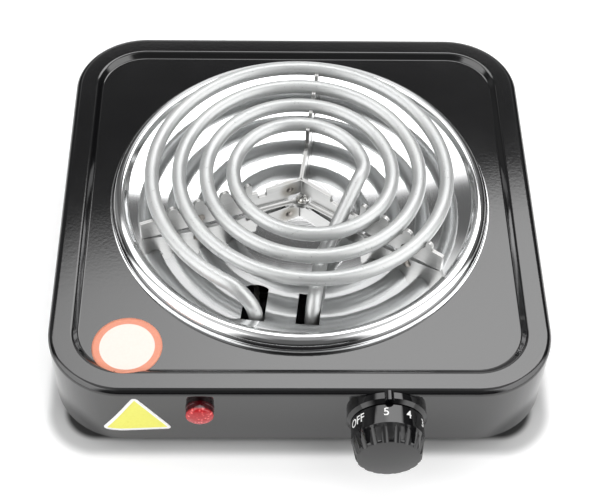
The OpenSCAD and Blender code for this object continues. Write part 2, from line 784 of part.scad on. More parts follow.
// The lug under the centre screw, with an arm along the foot of each wing
module lug_outline() {
    mid = arms[1] + 60;
    root = strip_gap / 2 + lug_inset;
    apex = root / sin(60);
    intersection() {
        circle(r = lug_r);
        rotate([0, 0, mid])
            polygon([[apex, 0], [apex + lug_r, lug_r * tan(60)], [apex + lug_r, -lug_r * tan(60)]]);
    }
    for (w = [[arms[1], root], [arms[2], -lug_w]])
        rotate([0, 0, w[0]]) translate([lug_r / 2, w[1]])
            square([notch_r + lug_arm - lug_r / 2, lug_w - root]);
}

// The front strip also has a foot flange along both wings and a lug for the centre screw
module support_front() color([0.6, 0.61, 0.6]) on_body() difference() {
    union() {
        support_strip(arms[1]);
        translate([spider_x, coil_y, 0]) {
            foot_flange(arms[1], 1);
            foot_flange(arms[2], -1);
            translate([0, 0, floor_z + seat_gap + slim]) linear_extrude(strip_t) lug_outline();
        }
    }
    translate([screw_at.x, screw_at.y, floor_z - 1]) cylinder(r = m4_r + screw_gap, h = 3);
}

module rivet(r, head) {
    reach = strip_face + seat_gap;
    translate([0, 0, -reach]) cylinder(r = r, h = 2 * reach);
    for (s = [0, 1])
        mirror([0, 0, s]) translate([0, 0, reach]) intersection() {
            cylinder(r = head[0], h = head[1]);
            translate([0, 0, head[1] - 2 * head[0]]) sphere(r = 2 * head[0], $fn = 128);
        }
}

module support_rivets() color([0.8, 0.8, 0.8]) on_body() translate([spider_x, coil_y, 0]) {
    for (a = arms) {
        hits = turn_hits(a);
        rotate([0, 0, a]) translate([(hits[1] + hits[2]) / 2, 0, outer_rivet_z]) rotate([90, 0, 0])
            rivet(rivet_r, rivet_head);
    }
    rotate([0, 0, arms[1]]) translate([inner_rivet.x, 0, inner_rivet.y]) rotate([90, 0, 0])
        rivet(inner_rivet_r, inner_rivet_head);
}

// The screw has a rolled rim round its domed head
module centre_screw() color([0.8, 0.8, 0.82]) on_body() {
    seat = floor_z + 2 * seat_gap + slim + strip_t;
    roll_r = centre_rim[1] / 2;
    dome_r = 1.6 * centre_head[0];
    slot = centre_head[0] * 0.5;
    translate([screw_at.x, screw_at.y, seat]) difference() {
        union() {
            translate([0, 0, 31.5 - seat]) cylinder(r = m4_r, h = seat - 31.5 + roll_r);
            rotate_extrude() polygon(concat(
                [[0, 0]],
                [for (k = [0:8]) [centre_rim[0] - roll_r, roll_r] + roll_r * [sin(22.5 * k), -cos(22.5 * k)]],
                [[centre_head[0] + 0.2, roll_r], [0, roll_r]]));
            intersection() {
                cylinder(r = centre_head[0], h = centre_head[1]);
                translate([0, 0, centre_head[1] - dome_r]) sphere(r = dome_r, $fn = 128);
            }
        }
        for (a = [0, 90])
            rotate([0, 0, a]) translate([-slot, -slot / 5, centre_head[1] - slot])
                cube([2 * slot, slot * 0.4, centre_head[1]]);
    }
}

module centre_washer() color([0.8, 0.8, 0.82]) on_body() {
    translate([screw_at.x, screw_at.y, floor_z - bowl_t - washer_t - seat_gap])
        ring(washer_r, m4_r + screw_gap, washer_t);
}

module centre_nut() color([0.78, 0.78, 0.8]) on_body() {
    translate([screw_at.x, screw_at.y, floor_z - bowl_t - washer_t - 2 * seat_gap - m4_nut_h])
        hex_nut(m4_nut_r, m4_nut_h, m4_r + screw_gap);
}

// Knob: a hollow moulding with a numbered skirt, a grooved grip and a hub that grips the shaft
module knob_body() {
    rim_x = grip_r - grip_edge_r;
    rim_top = knob_reach - dome_rise - grip_edge_r;
    rotate_extrude() polygon(concat(
        [[0, knob_back], [knob_r - knob_bevel, knob_back], [knob_r, knob_back + knob_bevel]],
        [[knob_r, skirt_front], [shoulder_r, skirt_front + 2 * (knob_r - shoulder_r)]],
        [for (k = [0:6]) [rim_x + grip_edge_r * cos(12 * k), rim_top + grip_edge_r * sin(12 * k)]],
        [for (k = [6:-1:0]) [rim_x * k / 6, knob_reach - dome_rise * pow(k / 6, 2)]]));
}

module knob() color([0.05, 0.05, 0.055]) on_body() at_front(knob_x, knob_z) {
    lean = atan((shoulder_r - grip_r + groove_depth) / (knob_reach - groove_start));
    cavity_r = grip_r - groove_depth - knob_wall;
    cavity_top = knob_reach - dome_rise - 2.4;
    hub_top = hub_back + hub_depth;
    difference() {
        union() {
            difference() {
                knob_body();
                for (k = [0:grooves - 1])
                    rotate([0, 0, 360 / grooves * (k + 0.5)])
                        translate([0, shoulder_r + groove_r, groove_start]) rotate([lean, 0, 0])
                            cylinder(r = groove_r, h = knob_reach);
                translate([0, 0, knob_back - eps]) cylinder(r = cavity_r, h = cavity_top - knob_back + eps);
            }
            translate([0, 0, hub_back]) cylinder(r = hub_r, h = cavity_top + 0.4 - hub_back);
            for (a = [45:90:315])
                rotate([0, 0, a]) translate([hub_r - 0.3, -0.6, hub_back + 3])
                    cube([cavity_r - hub_r + 0.6, 1.2, cavity_top + 0.4 - hub_back - 3]);
        }
        difference() {
            translate([0, 0, hub_back - eps]) cylinder(r = shaft_r + screw_gap, h = hub_depth + eps);
            translate([-shaft_r - 1, flat_y + clip_t + 0.1, hub_back - 2 * eps])
                cube([2 * shaft_r + 2, shaft_r, hub_depth + 4 * eps]);
        }
        translate([-clip_w / 2 - 0.1, flat_y - 0.4, hub_top - clip_l - 1])
            cube([clip_w + 0.2, clip_t + 0.5, clip_l + 1]);
    }
}

module knob_clip() color([0.75, 0.76, 0.78]) on_body() at_front(knob_x, knob_z) {
    translate([-clip_w / 2, flat_y + 0.05, hub_back + hub_depth - clip_l - 0.5])
        cube([clip_w, clip_t, clip_l]);
}

module thermostat_shaft() color([0.75, 0.75, 0.77]) on_body() at_front(knob_x, knob_z) {
    collar = -frame_back - bush_flange_t - 0.3 - collar_t;
    tip = -frame_back - ring_h[0] + tip_gap;
    difference() {
        union() {
            translate([0, 0, collar]) cylinder(r = shaft_r, h = hub_back + hub_depth - 0.5 - collar);
            translate([0, 0, collar]) cylinder(r = collar_r, h = collar_t);
            translate([0, 0, min(tip, collar - 0.4)]) cylinder(r = tip_r, h = collar_t + 1);
        }
        translate([-shaft_r - 1, flat_y, hub_back - 0.5]) cube([2 * shaft_r + 2, shaft_r, hub_depth + 2]);
    }
}

module knob_bezel() color([0.07, 0.07, 0.075]) on_body() at_front(knob_x, knob_z) {
    rotate_extrude() polygon([
        [bezel_hole_r, bezel_h], [bezel_hole_r, bezel_h - bezel_web],
        [bezel_r - bezel_wall, bezel_h - bezel_web], [bezel_r - bezel_wall, seat_gap],
        [bezel_r, seat_gap], [bezel_r, bezel_h - bezel_edge], [bezel_r - bezel_edge, bezel_h]]);
    translate([0, bezel_r - 0.3, seat_gap]) cylinder(r = pointer_r, h = bezel_h - seat_gap);
}

module thermostat_bush() color([0.8, 0.72, 0.45]) on_body() at_front(knob_x, knob_z) {
    difference() {
        union() {
            translate([0, 0, -frame_back - bush_flange_t]) cylinder(r = bush_flange_r, h = bush_flange_t);
            translate([0, 0, -frame_back - bush_flange_t])
                cylinder(r = bush_r, h = frame_back + bush_flange_t + bush_front);
        }
        translate([0, 0, -frame_back - bush_flange_t - eps])
            cylinder(r = shaft_r + shaft_gap, h = frame_back + bush_flange_t + bush_front + 2 * eps);
    }
}

module thermostat_frame() color([0.7, 0.71, 0.72]) on_body() at_front(knob_x, knob_z) {
    difference() {
        union() {
            translate([-frame_left, -frame_h / 2, -frame_back])
                cube([frame_left + frame_right, frame_h, frame_t]);
            for (s = [-1, 1])
                translate([-frame_left, s * (frame_h - frame_t) / 2 - frame_t / 2, -frame_back - frame_lip])
                    cube([frame_left + frame_right, frame_t, frame_lip + frame_t / 2]);
        }
        translate([0, 0, -frame_back - eps]) {
            cylinder(r = bush_r + 0.05, h = frame_t + 2 * eps);
            translate([stack_x, 0, 0]) cylinder(r = m3_r + screw_gap, h = frame_t + 2 * eps);
            for (s = [-1, 1])
                translate([s * thermo_screw_x, 0, 0]) cylinder(r = m3_r + screw_gap, h = frame_t + 2 * eps);
        }
    }
}

module thermostat_screws() color([0.75, 0.76, 0.78]) on_body() at_front(knob_x, knob_z) {
    for (s = [-1, 1])
        translate([s * thermo_screw_x, 0, seat_gap]) pan_screw(m3_r, m3_l, m3_head_r, m3_head_h);
}

// Heights of the stack behind the frame: ring k starts here
function ring_start(k) = k == 0 ? frame_back : ring_start(k - 1) + ring_h[k - 1] + spring_t;
stack_back = ring_start(3) + ring_h[3];

module thermostat_rings() color([0.93, 0.91, 0.86]) on_body() at_front(knob_x, knob_z) {
    for (k = [0:3])
        translate([stack_x, 0, -ring_start(k) - ring_h[k]]) ring(ring_r, m3_r + screw_gap, ring_h[k]);
}

module stack_screw() color([0.75, 0.76, 0.78]) on_body() at_front(knob_x, knob_z) {
    translate([stack_x, 0, -stack_back]) rotate([180, 0, 0])
        pan_screw(m3_r, stack_back - wall - 0.1, m3_head_r, m3_head_h);
}

// A spring strip of the stack, behind ring k
module stack_strip(k) {
    z = -ring_start(k + 1);
    difference() {
        translate([-strip_inner, -strip_w / 2, z])
            cube([stack_x + strip_inner + strip_outer, strip_w, spring_t]);
        translate([stack_x, 0, z - eps]) cylinder(r = m3_r + screw_gap, h = spring_t + 2 * eps);
    }
}

module contact_springs() color([0.72, 0.5, 0.3]) on_body() at_front(knob_x, knob_z) {
    button = (ring_h[1] - contact_gap) / 2;
    stack_strip(0);
    stack_strip(1);
    for (z = [-ring_start(1) - button, -ring_start(2) + spring_t / 2])
        translate([contact_x, 0, z]) cylinder(r = contact_r, h = button + spring_t / 2);
}

module bimetal_strip() color([0.66, 0.6, 0.5]) on_body() at_front(knob_x, knob_z) stack_strip(2);

module indicator_lens() color([0.62, 0.05, 0.06]) on_body() at_front(lamp_x, lamp_z) {
    straight = lens_reach * 0.65;
    rise = lens_reach - straight;
    difference() {
        rotate_extrude() polygon(concat(
            [[0, -lens_stem_l], [lens_stem_r, -lens_stem_l], [lens_stem_r, seat_gap]],
            [[lens_flange_r, seat_gap], [lens_flange_r, lens_flange_t - lens_flange_r + lens_r]],
            [[lens_r, lens_flange_t]],
            [for (k = [0:9]) [lens_r * cos(10 * k), straight + rise * sin(10 * k)]],
            [[0, lens_reach]]));
        translate([0, 0, -lens_stem_l - eps]) cylinder(r = lens_bore_r, h = lens_stem_l + eps + 1.8);
    }
}

module lens_clip() color([0.75, 0.76, 0.78]) on_body() at_front(lamp_x, lamp_z) {
    translate([0, 0, -wall - lens_clip_t - seat_gap]) ring(lens_clip_r, lens_stem_r + screw_gap, lens_clip_t);
}

module neon_lamp() color([0.95, 0.75, 0.6]) on_body() at_front(lamp_x, lamp_z) {
    translate([0, 0, 1.2 - neon_l]) {
        cylinder(r = neon_r, h = neon_l - neon_r);
        translate([0, 0, neon_l - neon_r]) sphere(r = neon_r);
    }
}

module cord_gland() color([0.07, 0.07, 0.07]) on_body() at_rear(gland_x, gland_z) {
    difference() {
        union() {
            translate([0, 0, seat_gap]) linear_extrude(gland_flange_t - seat_gap)
                polygon(rounded_rect(gland_flange.x, gland_flange.y, 3));
            translate([0, 0, gland_flange_t - 0.4])
                cylinder(r1 = gland_nose_r, r2 = gland_tip_r, h = gland_reach - gland_flange_t + 0.4);
            translate([0, 0, -wall - seat_gap - 0.2]) linear_extrude(wall + 2 * seat_gap + 0.4)
                polygon(rounded_rect(gland_neck.x, gland_neck.y, 1));
            translate([0, 0, -wall - seat_gap - gland_inner_t]) linear_extrude(gland_inner_t)
                polygon(rounded_rect(gland_neck.x + 2, gland_neck.y + 2, 2));
        }
        translate([0, 0, -wall - gland_inner_t - 2 * eps])
            cylinder(r = gland_bore_r, h = wall + gland_inner_t + gland_reach + 4 * eps);
    }
}

module at_block() {
    translate([gland_x, block_y, field_z + seat_gap]) children();
}

module terminal_block() color([0.93, 0.92, 0.88]) on_body() at_block() difference() {
    translate([-block_size.x / 2, -block_size.y / 2, 0]) cube(block_size);
    translate([-1, -block_size.y / 2 - eps, 5]) cube([2, block_size.y + 2 * eps, block_size.z]);
    for (s = [-1, 1]) {
        translate([s * pole_x, block_size.y / 2 + eps, block_size.z / 2]) rotate([90, 0, 0])
            cylinder(r = insert_r + 0.05, h = block_size.y + 2 * eps);
        for (t = [-1, 1])
            translate([s * pole_x, t * block_screw_y, block_size.z / 2])
                cylinder(r = block_screw_r + 0.5, h = block_size.z);
    }
}

module terminal_inserts() color([0.8, 0.68, 0.35]) on_body() at_block() {
    for (s = [-1, 1])
        difference() {
            translate([s * pole_x, block_size.y / 2 - 1, block_size.z / 2]) rotate([90, 0, 0])
                ring(insert_r, insert_bore_r, block_size.y - 2);
            for (t = [-1, 1])
                translate([s * pole_x, t * block_screw_y, block_size.z / 2])
                    cylinder(r = block_screw_r + screw_gap, h = block_size.z);
        }
}

module terminal_screws() color([0.75, 0.76, 0.78]) on_body() at_block() {
    for (s = [-1, 1], t = [-1, 1])
        translate([s * pole_x, t * block_screw_y, block_size.z / 2 + 1.8])
            difference() {
                cylinder(r = block_screw_r, h = block_screw_h - 1.5);
                translate([-3, -0.25, block_screw_h - 2.5]) cube([6, 0.5, 2]);
            }
}

module earth_screw() color([0.75, 0.76, 0.78]) on_body() {
    translate([gland_x + earth_dx, earth_y, field_z + seat_gap])
        pan_screw(m4_r, base_t + m4_nut_h + 1, m4_head_r, m4_head_h);
}

module earth_nut() color([0.78, 0.78, 0.8]) on_body() {
    translate([gland_x + earth_dx, earth_y, field_z - base_t - seat_gap - m4_nut_h])
        hex_nut(m4_nut_r, m4_nut_h, m4_r + screw_gap);
}

// The wires run level at wire_z, between the base plate and the bowl. A wire that has to step
// aside on its way back to a pole turns by slant degrees and back again.
pole_left = gland_x - pole_x;
pole_right = gland_x + pole_x;
block_front = block_y - block_size.y / 2 - 0.3;
function step_slant(shift, r, slant) = (shift - 2 * r * (1 - cos(slant))) / sin(slant);
function step_length(shift, r, slant) = 2 * r * sin(slant) + step_slant(shift, r, slant) * cos(slant);

// From the coil's left end back to the left pole
module coil_wire_left() color([0.85, 0.85, 0.82]) on_body() {
    shift = tail_end.x - pole_left;
    start = tail_end.y + sleeve_r + 0.1;
    along = step_length(shift, wire_bend_r, wire_slant);
    translate([tail_end.x, start, wire_z]) rotate([-90, 0, 0]) tube_run(wire_r, [
        ["go", wire_straight],
        ["bend", wire_bend_r, wire_slant, 180],
        ["go", step_slant(shift, wire_bend_r, wire_slant)],
        ["bend", wire_bend_r, wire_slant, 0],
        ["go", block_front - start - wire_straight - along]]);
}

// From the coil's other end to the thermostat's upper spring
module coil_wire_right() color([0.85, 0.85, 0.82]) on_body() {
    start = lead_end.x + sleeve_r + 0.1;
    end_x = knob_x + stack_x + strip_outer + wire_r + 0.1;
    back = front_y + ring_start(1) - spring_t / 2;
    translate([start, lead_end.y, wire_z]) rotate([0, 90, 0]) tube_run(wire_r, [
        ["go", end_x - start - wire_bend_r],
        ["bend", wire_bend_r, 90, -90],
        ["go", lead_end.y - back - 2 * wire_bend_r],
        ["bend", wire_bend_r, 90, 180],
        ["go", knob_z - wire_z - wire_bend_r]]);
}

// From the thermostat's lower spring down, back and across to the right pole
module feed_wire() color([0.15, 0.15, 0.16]) on_body() {
    start_x = knob_x + stack_x + strip_outer + 0.1;
    start_y = front_y + ring_start(2) - spring_t / 2;
    lane = start_x + feed_lane;
    turn_y = block_front - feed_turn;
    translate([start_x, start_y, knob_z]) rotate([0, 90, 0]) tube_run(wire_r, [
        ["go", feed_lane - wire_drop_r],
        ["bend", wire_drop_r, 90, 0],
        ["go", knob_z - wire_z - 2 * wire_drop_r],
        ["bend", wire_drop_r, 90, 90],
        ["go", turn_y - start_y - wire_drop_r - wire_bend_r],
        ["bend", wire_bend_r, 90, 0],
        ["go", lane - pole_right - 2 * wire_bend_r],
        ["bend", wire_bend_r, 90, 180],
        ["go", feed_turn - wire_bend_r]]);
}

// From the lamp down and back, one to each pole
module lamp_wires() color([0.85, 0.85, 0.82]) on_body() {
    start = front_y + neon_l - 1.2 + 0.1;
    drop = lamp_z - lamp_wire_z;
    fall = step_length(drop, lamp_bend_r, lamp_slant);
    for (w = [[lamp_x - lamp_wire_x, pole_left], [lamp_x + lamp_wire_x, pole_right]]) {
        shift = w[1] - w[0];
        along = step_length(shift, wire_bend_r, wire_slant);
        translate([w[0], start, lamp_z]) rotate([-90, 0, 0]) tube_run(lamp_wire_r, [
            ["go", lamp_bend_r],
            ["bend", lamp_bend_r, lamp_slant, 90],
            ["go", step_slant(drop, lamp_bend_r, lamp_slant)],
            ["bend", lamp_bend_r, lamp_slant, -90],
            ["go", block_front - start - lamp_bend_r - fall - along - feed_turn],
            ["bend", wire_bend_r, wire_slant, 0],
            ["go", step_slant(shift, wire_bend_r, wire_slant)],
            ["bend", wire_bend_r, wire_slant, 180],
            ["go", feed_turn]]);
    }
}

top_housing();
base_plate();
rubber_feet();
foot_screws();
corner_brackets();
drip_bowl();
bowl_tabs();
heating_coil();
coil_end_seals();
terminal_pins();
crimp_sleeves();
support_front();
support_rear_left();
support_rear_right();
support_rivets();
centre_screw();
centre_washer();
centre_nut();
knob();
knob_clip();
thermostat_shaft();
knob_bezel();
thermostat_bush();
thermostat_frame();
thermostat_screws();
thermostat_rings();
stack_screw();
contact_springs();
bimetal_strip();
indicator_lens();
lens_clip();
neon_lamp();
cord_gland();
terminal_block();
terminal_inserts();
terminal_screws();
earth_screw();
earth_nut();
coil_wire_left();
coil_wire_right();
feed_wire();
lamp_wires();
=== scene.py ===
# %% [markdown]
# # A hot plate, dressed for its portrait
# The construction arrives as a frame: every pressed sheet, tube, screw and wire is already there
# at its real size and place. This script gives each of them its finish, adds the few things that
# are only skin deep, such as the numbers on the knob and the two stickers, and sets up the light.

import bpy
import bmesh
import json
import math
import numpy as np
from mathutils import Matrix, Vector
from mathutils.bvhtree import BVHTree

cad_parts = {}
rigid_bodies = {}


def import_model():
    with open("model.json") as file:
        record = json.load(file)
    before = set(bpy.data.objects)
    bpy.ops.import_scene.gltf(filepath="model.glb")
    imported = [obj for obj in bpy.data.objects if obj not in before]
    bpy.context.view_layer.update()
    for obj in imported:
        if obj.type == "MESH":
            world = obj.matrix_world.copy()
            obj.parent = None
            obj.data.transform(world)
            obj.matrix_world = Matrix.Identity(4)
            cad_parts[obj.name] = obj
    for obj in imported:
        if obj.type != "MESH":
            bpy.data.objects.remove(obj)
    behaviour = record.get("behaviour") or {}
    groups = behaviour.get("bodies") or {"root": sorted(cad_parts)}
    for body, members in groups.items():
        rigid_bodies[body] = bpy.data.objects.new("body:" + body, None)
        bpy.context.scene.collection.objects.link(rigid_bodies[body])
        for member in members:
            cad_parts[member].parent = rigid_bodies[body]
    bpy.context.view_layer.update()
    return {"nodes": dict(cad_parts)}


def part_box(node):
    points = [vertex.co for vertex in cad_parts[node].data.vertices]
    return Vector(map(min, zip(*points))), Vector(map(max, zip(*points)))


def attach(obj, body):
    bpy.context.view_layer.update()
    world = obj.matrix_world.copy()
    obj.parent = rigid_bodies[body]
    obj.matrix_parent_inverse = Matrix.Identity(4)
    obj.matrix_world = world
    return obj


for thing in list(bpy.data.objects):
    bpy.data.objects.remove(thing)
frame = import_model()
nodes = frame["nodes"]

# %% [markdown]
# ## Measures
# Everything that is placed here is worked out from the boxes of the pieces that carry it. If the
# construction changes, the numbers follow.

# %% Places read from the frame
MM = 0.001


def middle(node):
    low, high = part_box(node)
    return (low + high) / 2


shell_low, shell_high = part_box("top_housing")
body_y = (shell_low.y + shell_high.y) / 2
front_y = shell_low.y
bowl_centre = middle("drip_bowl")
knob_low, knob_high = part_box("knob")
knob_axis = middle("knob")
skirt_r = (knob_high.z - knob_low.z) / 2
lens_low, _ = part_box("indicator_lens")
print("housing", [round(v / MM, 1) for v in shell_high - shell_low], "mm")

# %% [markdown]
# ## Camera
# The camera looks down at about 52 degrees with a long lens, slightly from the left. A camera is
# easiest to trust when it is built from its measured place and turn: here a matrix is put
# together from three directions, and the small sideways shift frames the object.

# %% Set up the camera
VIEW_WIDTH = 607
FOCAL_PX = 1424.66
SHIFT_PX = (6.665, 7.249)
SENSOR = 36
AZIMUTH = math.radians(-1.919)
ELEVATION = math.radians(51.925)
ROLL = math.radians(1.676)
DISTANCE = 0.70234

back = Vector((math.sin(AZIMUTH) * math.cos(ELEVATION), -math.cos(AZIMUTH) * math.cos(ELEVATION),
               math.sin(ELEVATION)))
side = (-back).cross(Vector((0, 0, 1))).normalized()
up = side.cross(-back)
turned_side = math.cos(ROLL) * side + math.sin(ROLL) * up
turned_up = math.cos(ROLL) * up - math.sin(ROLL) * side
place = Vector((0, body_y, 0)) + back * DISTANCE

camera = bpy.data.objects.new("camera", bpy.data.cameras.new("camera"))
bpy.context.scene.collection.objects.link(camera)
camera.matrix_world = Matrix.Translation(place) @ Matrix(
    (turned_side, turned_up, back)).transposed().to_4x4()
camera.data.sensor_width = SENSOR
camera.data.lens = FOCAL_PX * SENSOR / VIEW_WIDTH
camera.data.shift_x = SHIFT_PX[0] / VIEW_WIDTH
camera.data.shift_y = SHIFT_PX[1] / VIEW_WIDTH
camera.data.clip_start = 0.01
bpy.context.scene.camera = camera
print("lens", round(camera.data.lens, 1), "mm")

# %% [markdown]
# ## A small language for finishes
# A finish is a graph of nodes, and graphs are slow to read. Here a socket is wrapped in a class
# whose operators add Math nodes, so that `0.3 + 0.1 * grain` reads like what it does. Anything
# else, such as a noise or a ramp, comes from one method that takes the node's type, its settings
# and the values of its sockets.

# %% The socket wrapper
class Signal:
    """A socket that carries a number, a colour or a vector."""

    def __init__(self, finish, socket):
        self.finish = finish
        self.socket = socket

    def _math(self, operation, *values):
        sockets = dict(enumerate(values))
        return self.finish.node("ShaderNodeMath", {"operation": operation}, sockets)

    def __add__(self, other):
        return self._math("ADD", self, other)

    def __radd__(self, other):
        return self._math("ADD", other, self)

    def __sub__(self, other):
        return self._math("SUBTRACT", self, other)

    def __rsub__(self, other):
        return self._math("SUBTRACT", other, self)

    def __mul__(self, other):
        return self._math("MULTIPLY", self, other)

    def __rmul__(self, other):
        return self._math("MULTIPLY", other, self)

    def __truediv__(self, other):
        return self._math("DIVIDE", self, other)

    def sine(self):
        return self._math("SINE", self)

    def least(self, other):
        return self._math("MINIMUM", self, other)

    def most(self, other):
        return self._math("MAXIMUM", self, other)

    def ramp(self, low, high):
        """0 below low, 1 above high, and smooth between."""
        limits = {0: self, 1: low, 2: high, 3: 0.0, 4: 1.0}
        return self.finish.node("ShaderNodeMapRange", {"interpolation_type": "SMOOTHSTEP"}, limits)


# %% The finish
class Finish:
    """A node graph round one shader; constants go on the shader's own sockets."""

    def __init__(self, name, tree=None, **constants):
        self.material = None
        if tree is None:
            self.material = bpy.data.materials.new(name)
            self.material.use_nodes = True
            tree = self.material.node_tree
        self.tree = tree
        self.shader = tree.nodes.get("Principled BSDF")
        for socket, value in constants.items():
            self.shader.inputs[self.plain(socket)].default_value = self.full(value)

    @staticmethod
    def plain(socket):
        return socket.replace("_", " ").title().replace("Ior", "IOR")

    @staticmethod
    def full(value):
        return (*value, 1.0) if isinstance(value, tuple) and len(value) == 3 else value

    def node(self, kind, settings=None, sockets=None, out=0):
        made = self.tree.nodes.new(kind)
        for name, value in (settings or {}).items():
            setattr(made, name, value)
        for key, value in (sockets or {}).items():
            if isinstance(value, Signal):
                self.tree.links.new(value.socket, made.inputs[key])
            else:
                wide = len(made.inputs[key].default_value) == 4 if isinstance(value, tuple) else False
                made.inputs[key].default_value = self.full(value) if wide else value
        return Signal(self, made.outputs[out])

    def feed(self, **signals):
        for socket, signal in signals.items():
            self.tree.links.new(signal.socket, self.shader.inputs[self.plain(socket)])
        return self

    def vector(self, operation, *vectors, out=0):
        return self.node("ShaderNodeVectorMath", {"operation": operation}, dict(enumerate(vectors)), out)

    def length(self, vector):
        return self.vector("LENGTH", vector, out="Value")

    def where(self):
        return self.node("ShaderNodeTexCoord", out="Object")

    def axes(self, vector=None):
        """The three numbers of a vector; without one, of the place on the object."""
        first = self.node("ShaderNodeSeparateXYZ", None, {0: vector or self.where()})
        outputs = first.socket.node.outputs
        return first, Signal(self, outputs["Y"]), Signal(self, outputs["Z"])

    def from_point(self, point, weights=(1, 1, 1)):
        """Distance from a point, where a weight of 0 leaves an axis out."""
        offset = self.vector("SUBTRACT", self.where(), tuple(point))
        return self.length(self.vector("MULTIPLY", offset, weights))

    def along(self, x=0.0, y=0.0, z=0.0):
        return self.node("ShaderNodeCombineXYZ", None, {0: x, 1: y, 2: z})

    def noise(self, scale, detail=3.0, at=None, rough=0.5):
        sockets = {"Vector": at or self.where(), "Scale": scale, "Detail": detail, "Roughness": rough}
        return self.node("ShaderNodeTexNoise", None, sockets, "Fac")

    def cells(self, scale, at=None, out="Distance"):
        return self.node("ShaderNodeTexVoronoi", None, {"Vector": at or self.where(), "Scale": scale}, out)

    def mix(self, factor, first, second):
        """A colour between two, on the mix node's own colour sockets."""
        return self.node("ShaderNodeMix", {"data_type": "RGBA"}, {0: factor, 6: first, 7: second}, 2)

    def stretched(self, x, y, z):
        return self.node("ShaderNodeMapping", None, {"Vector": self.where(), "Scale": (x, y, z)})

    def bump(self, height, strength, depth):
        return self.node("ShaderNodeBump", None, {"Height": height, "Strength": strength, "Distance": depth})


# %% Putting a finish on pieces
def dress(finish, *names):
    for name in names:
        piece = nodes[name] if isinstance(name, str) else name
        piece.data.materials.clear()
        piece.data.materials.append(finish.material)
        print(finish.material.name, "->", piece.name)


# %% [markdown]
# ## Smooth shading without touching the shape
# A pressed edge comes as narrow flats. The eye should see one smooth bend, but a true corner
# must stay sharp. The shape of a piece may not change, so only the shading is worked on: faces
# that meet at less than a limit angle share their normal. Every face has its own copy of each
# corner point, so the copies that lie together are found first.

# %% Read a mesh corner by corner
SAME_PLACE = 0.002 * MM


def read(items, field, width, kind=float):
    values = np.zeros(len(items) * width, kind)
    items.foreach_get(field, values)
    return values.reshape(-1, width) if width > 1 else values


def corners(mesh):
    """The place, the face's normal and the face's area, each for every corner of every face."""
    points = read(mesh.vertices, "co", 3)[read(mesh.loops, "vertex_index", 1, np.int64)]
    totals = read(mesh.polygons, "loop_total", 1, np.int64)
    face = np.repeat(np.arange(len(mesh.polygons)), totals)
    return points, read(mesh.polygons, "normal", 3)[face], read(mesh.polygons, "area", 1)[face]


def groups(points):
    """Lists of the corners that lie in one place."""
    _, place = np.unique(np.round(points / SAME_PLACE).astype(np.int64), axis=0, return_inverse=True)
    order = np.argsort(place.ravel(), kind="stable")
    place = place.ravel()[order]
    starts = np.flatnonzero(np.r_[True, place[1:] != place[:-1]])
    return np.split(order, starts[1:])


points, _, _ = corners(nodes["drip_bowl"].data)
print("the bowl has", len(points), "corners in", len(groups(points)), "places")

# %% [markdown]
# The bowl is turned, so no part of its shading should lean round its axis. Where a normal leans
# that way only a little, that part is taken out, which keeps the reflections in clean rings.
# The edges of its slots lean a lot, and stay.

# %% Share normals and take out the lean round an axis
BEND_LIMIT = 32
SLIGHT_LEAN = 0.3
TINY_AREA = 1e-16
TINY_LENGTH = 1e-12


def shared(points, normal, area):
    near = math.cos(math.radians(BEND_LIMIT))
    weight = area + TINY_AREA
    smooth = np.zeros_like(normal)
    for members in groups(points):
        here = normal[members]
        alike = here @ here.T > near
        smooth[members] = (alike * weight[members]) @ here
    return smooth


def unturned(smooth, points, centre):
    around = np.cross((0, 0, 1), points - np.array(centre)) * (1, 1, 0)
    around /= np.linalg.norm(around, axis=1, keepdims=True) + TINY_LENGTH
    lean = np.sum(smooth * around, axis=1, keepdims=True)
    slight = np.abs(lean) < SLIGHT_LEAN * np.linalg.norm(smooth, axis=1, keepdims=True)
    return np.where(slight, smooth - lean * around, smooth)


def soften(piece, spun_about=None):
    points, normal, area = corners(piece.data)
    smooth = shared(points, normal, area)
    if spun_about is not None:
        smooth = unturned(smooth, points, spun_about)
    length = np.linalg.norm(smooth, axis=1, keepdims=True)
    smooth = np.where(length > 0, smooth / np.maximum(length, TINY_AREA ** 2), normal)
    piece.data.shade_smooth()
    piece.data.normals_split_custom_set(smooth.tolist())


for name, piece in nodes.items():
    soften(piece, spun_about=bowl_centre if name == "drip_bowl" else None)
print("softened", len(nodes), "pieces")

# %% [markdown]
# ## Black enamel
# Glass enamel is fired on to the steel. It is almost black, mirrors what is above it, and keeps a
# faint waviness from the firing, called orange peel. Two noises do this: a fine one bends the
# reflection through a bump, and a broad one stands for the film of dust that dulls it in places.

# %% Finish of the housing
enamel = Finish("black_enamel", base_color=(0.0035, 0.0035, 0.004), roughness=0.06, ior=1.78)
orange_peel = enamel.noise(scale=700, detail=2.0)
dust = enamel.noise(scale=45, detail=5.0)
specks = enamel.noise(scale=2600, detail=1.0).ramp(0.73, 0.78)
enamel.feed(
    base_color=enamel.mix(0.25 * specks + 0.05 * dust, (0.0025, 0.0025, 0.003), (0.03, 0.03, 0.03)),
    roughness=0.055 + 0.05 * dust,
    normal=enamel.bump(orange_peel, strength=0.03, depth=0.3 * MM))
dress(enamel, "top_housing")

# %% [markdown]
# ## Spun and polished steel
# The bowl is turned on a lathe and polished, so what is left of the tool marks runs in rings. The
# distance from the bowl's axis, fed to a noise in one direction only, gives exactly such rings.
# They bend the reflection a little and make some rings duller than others.

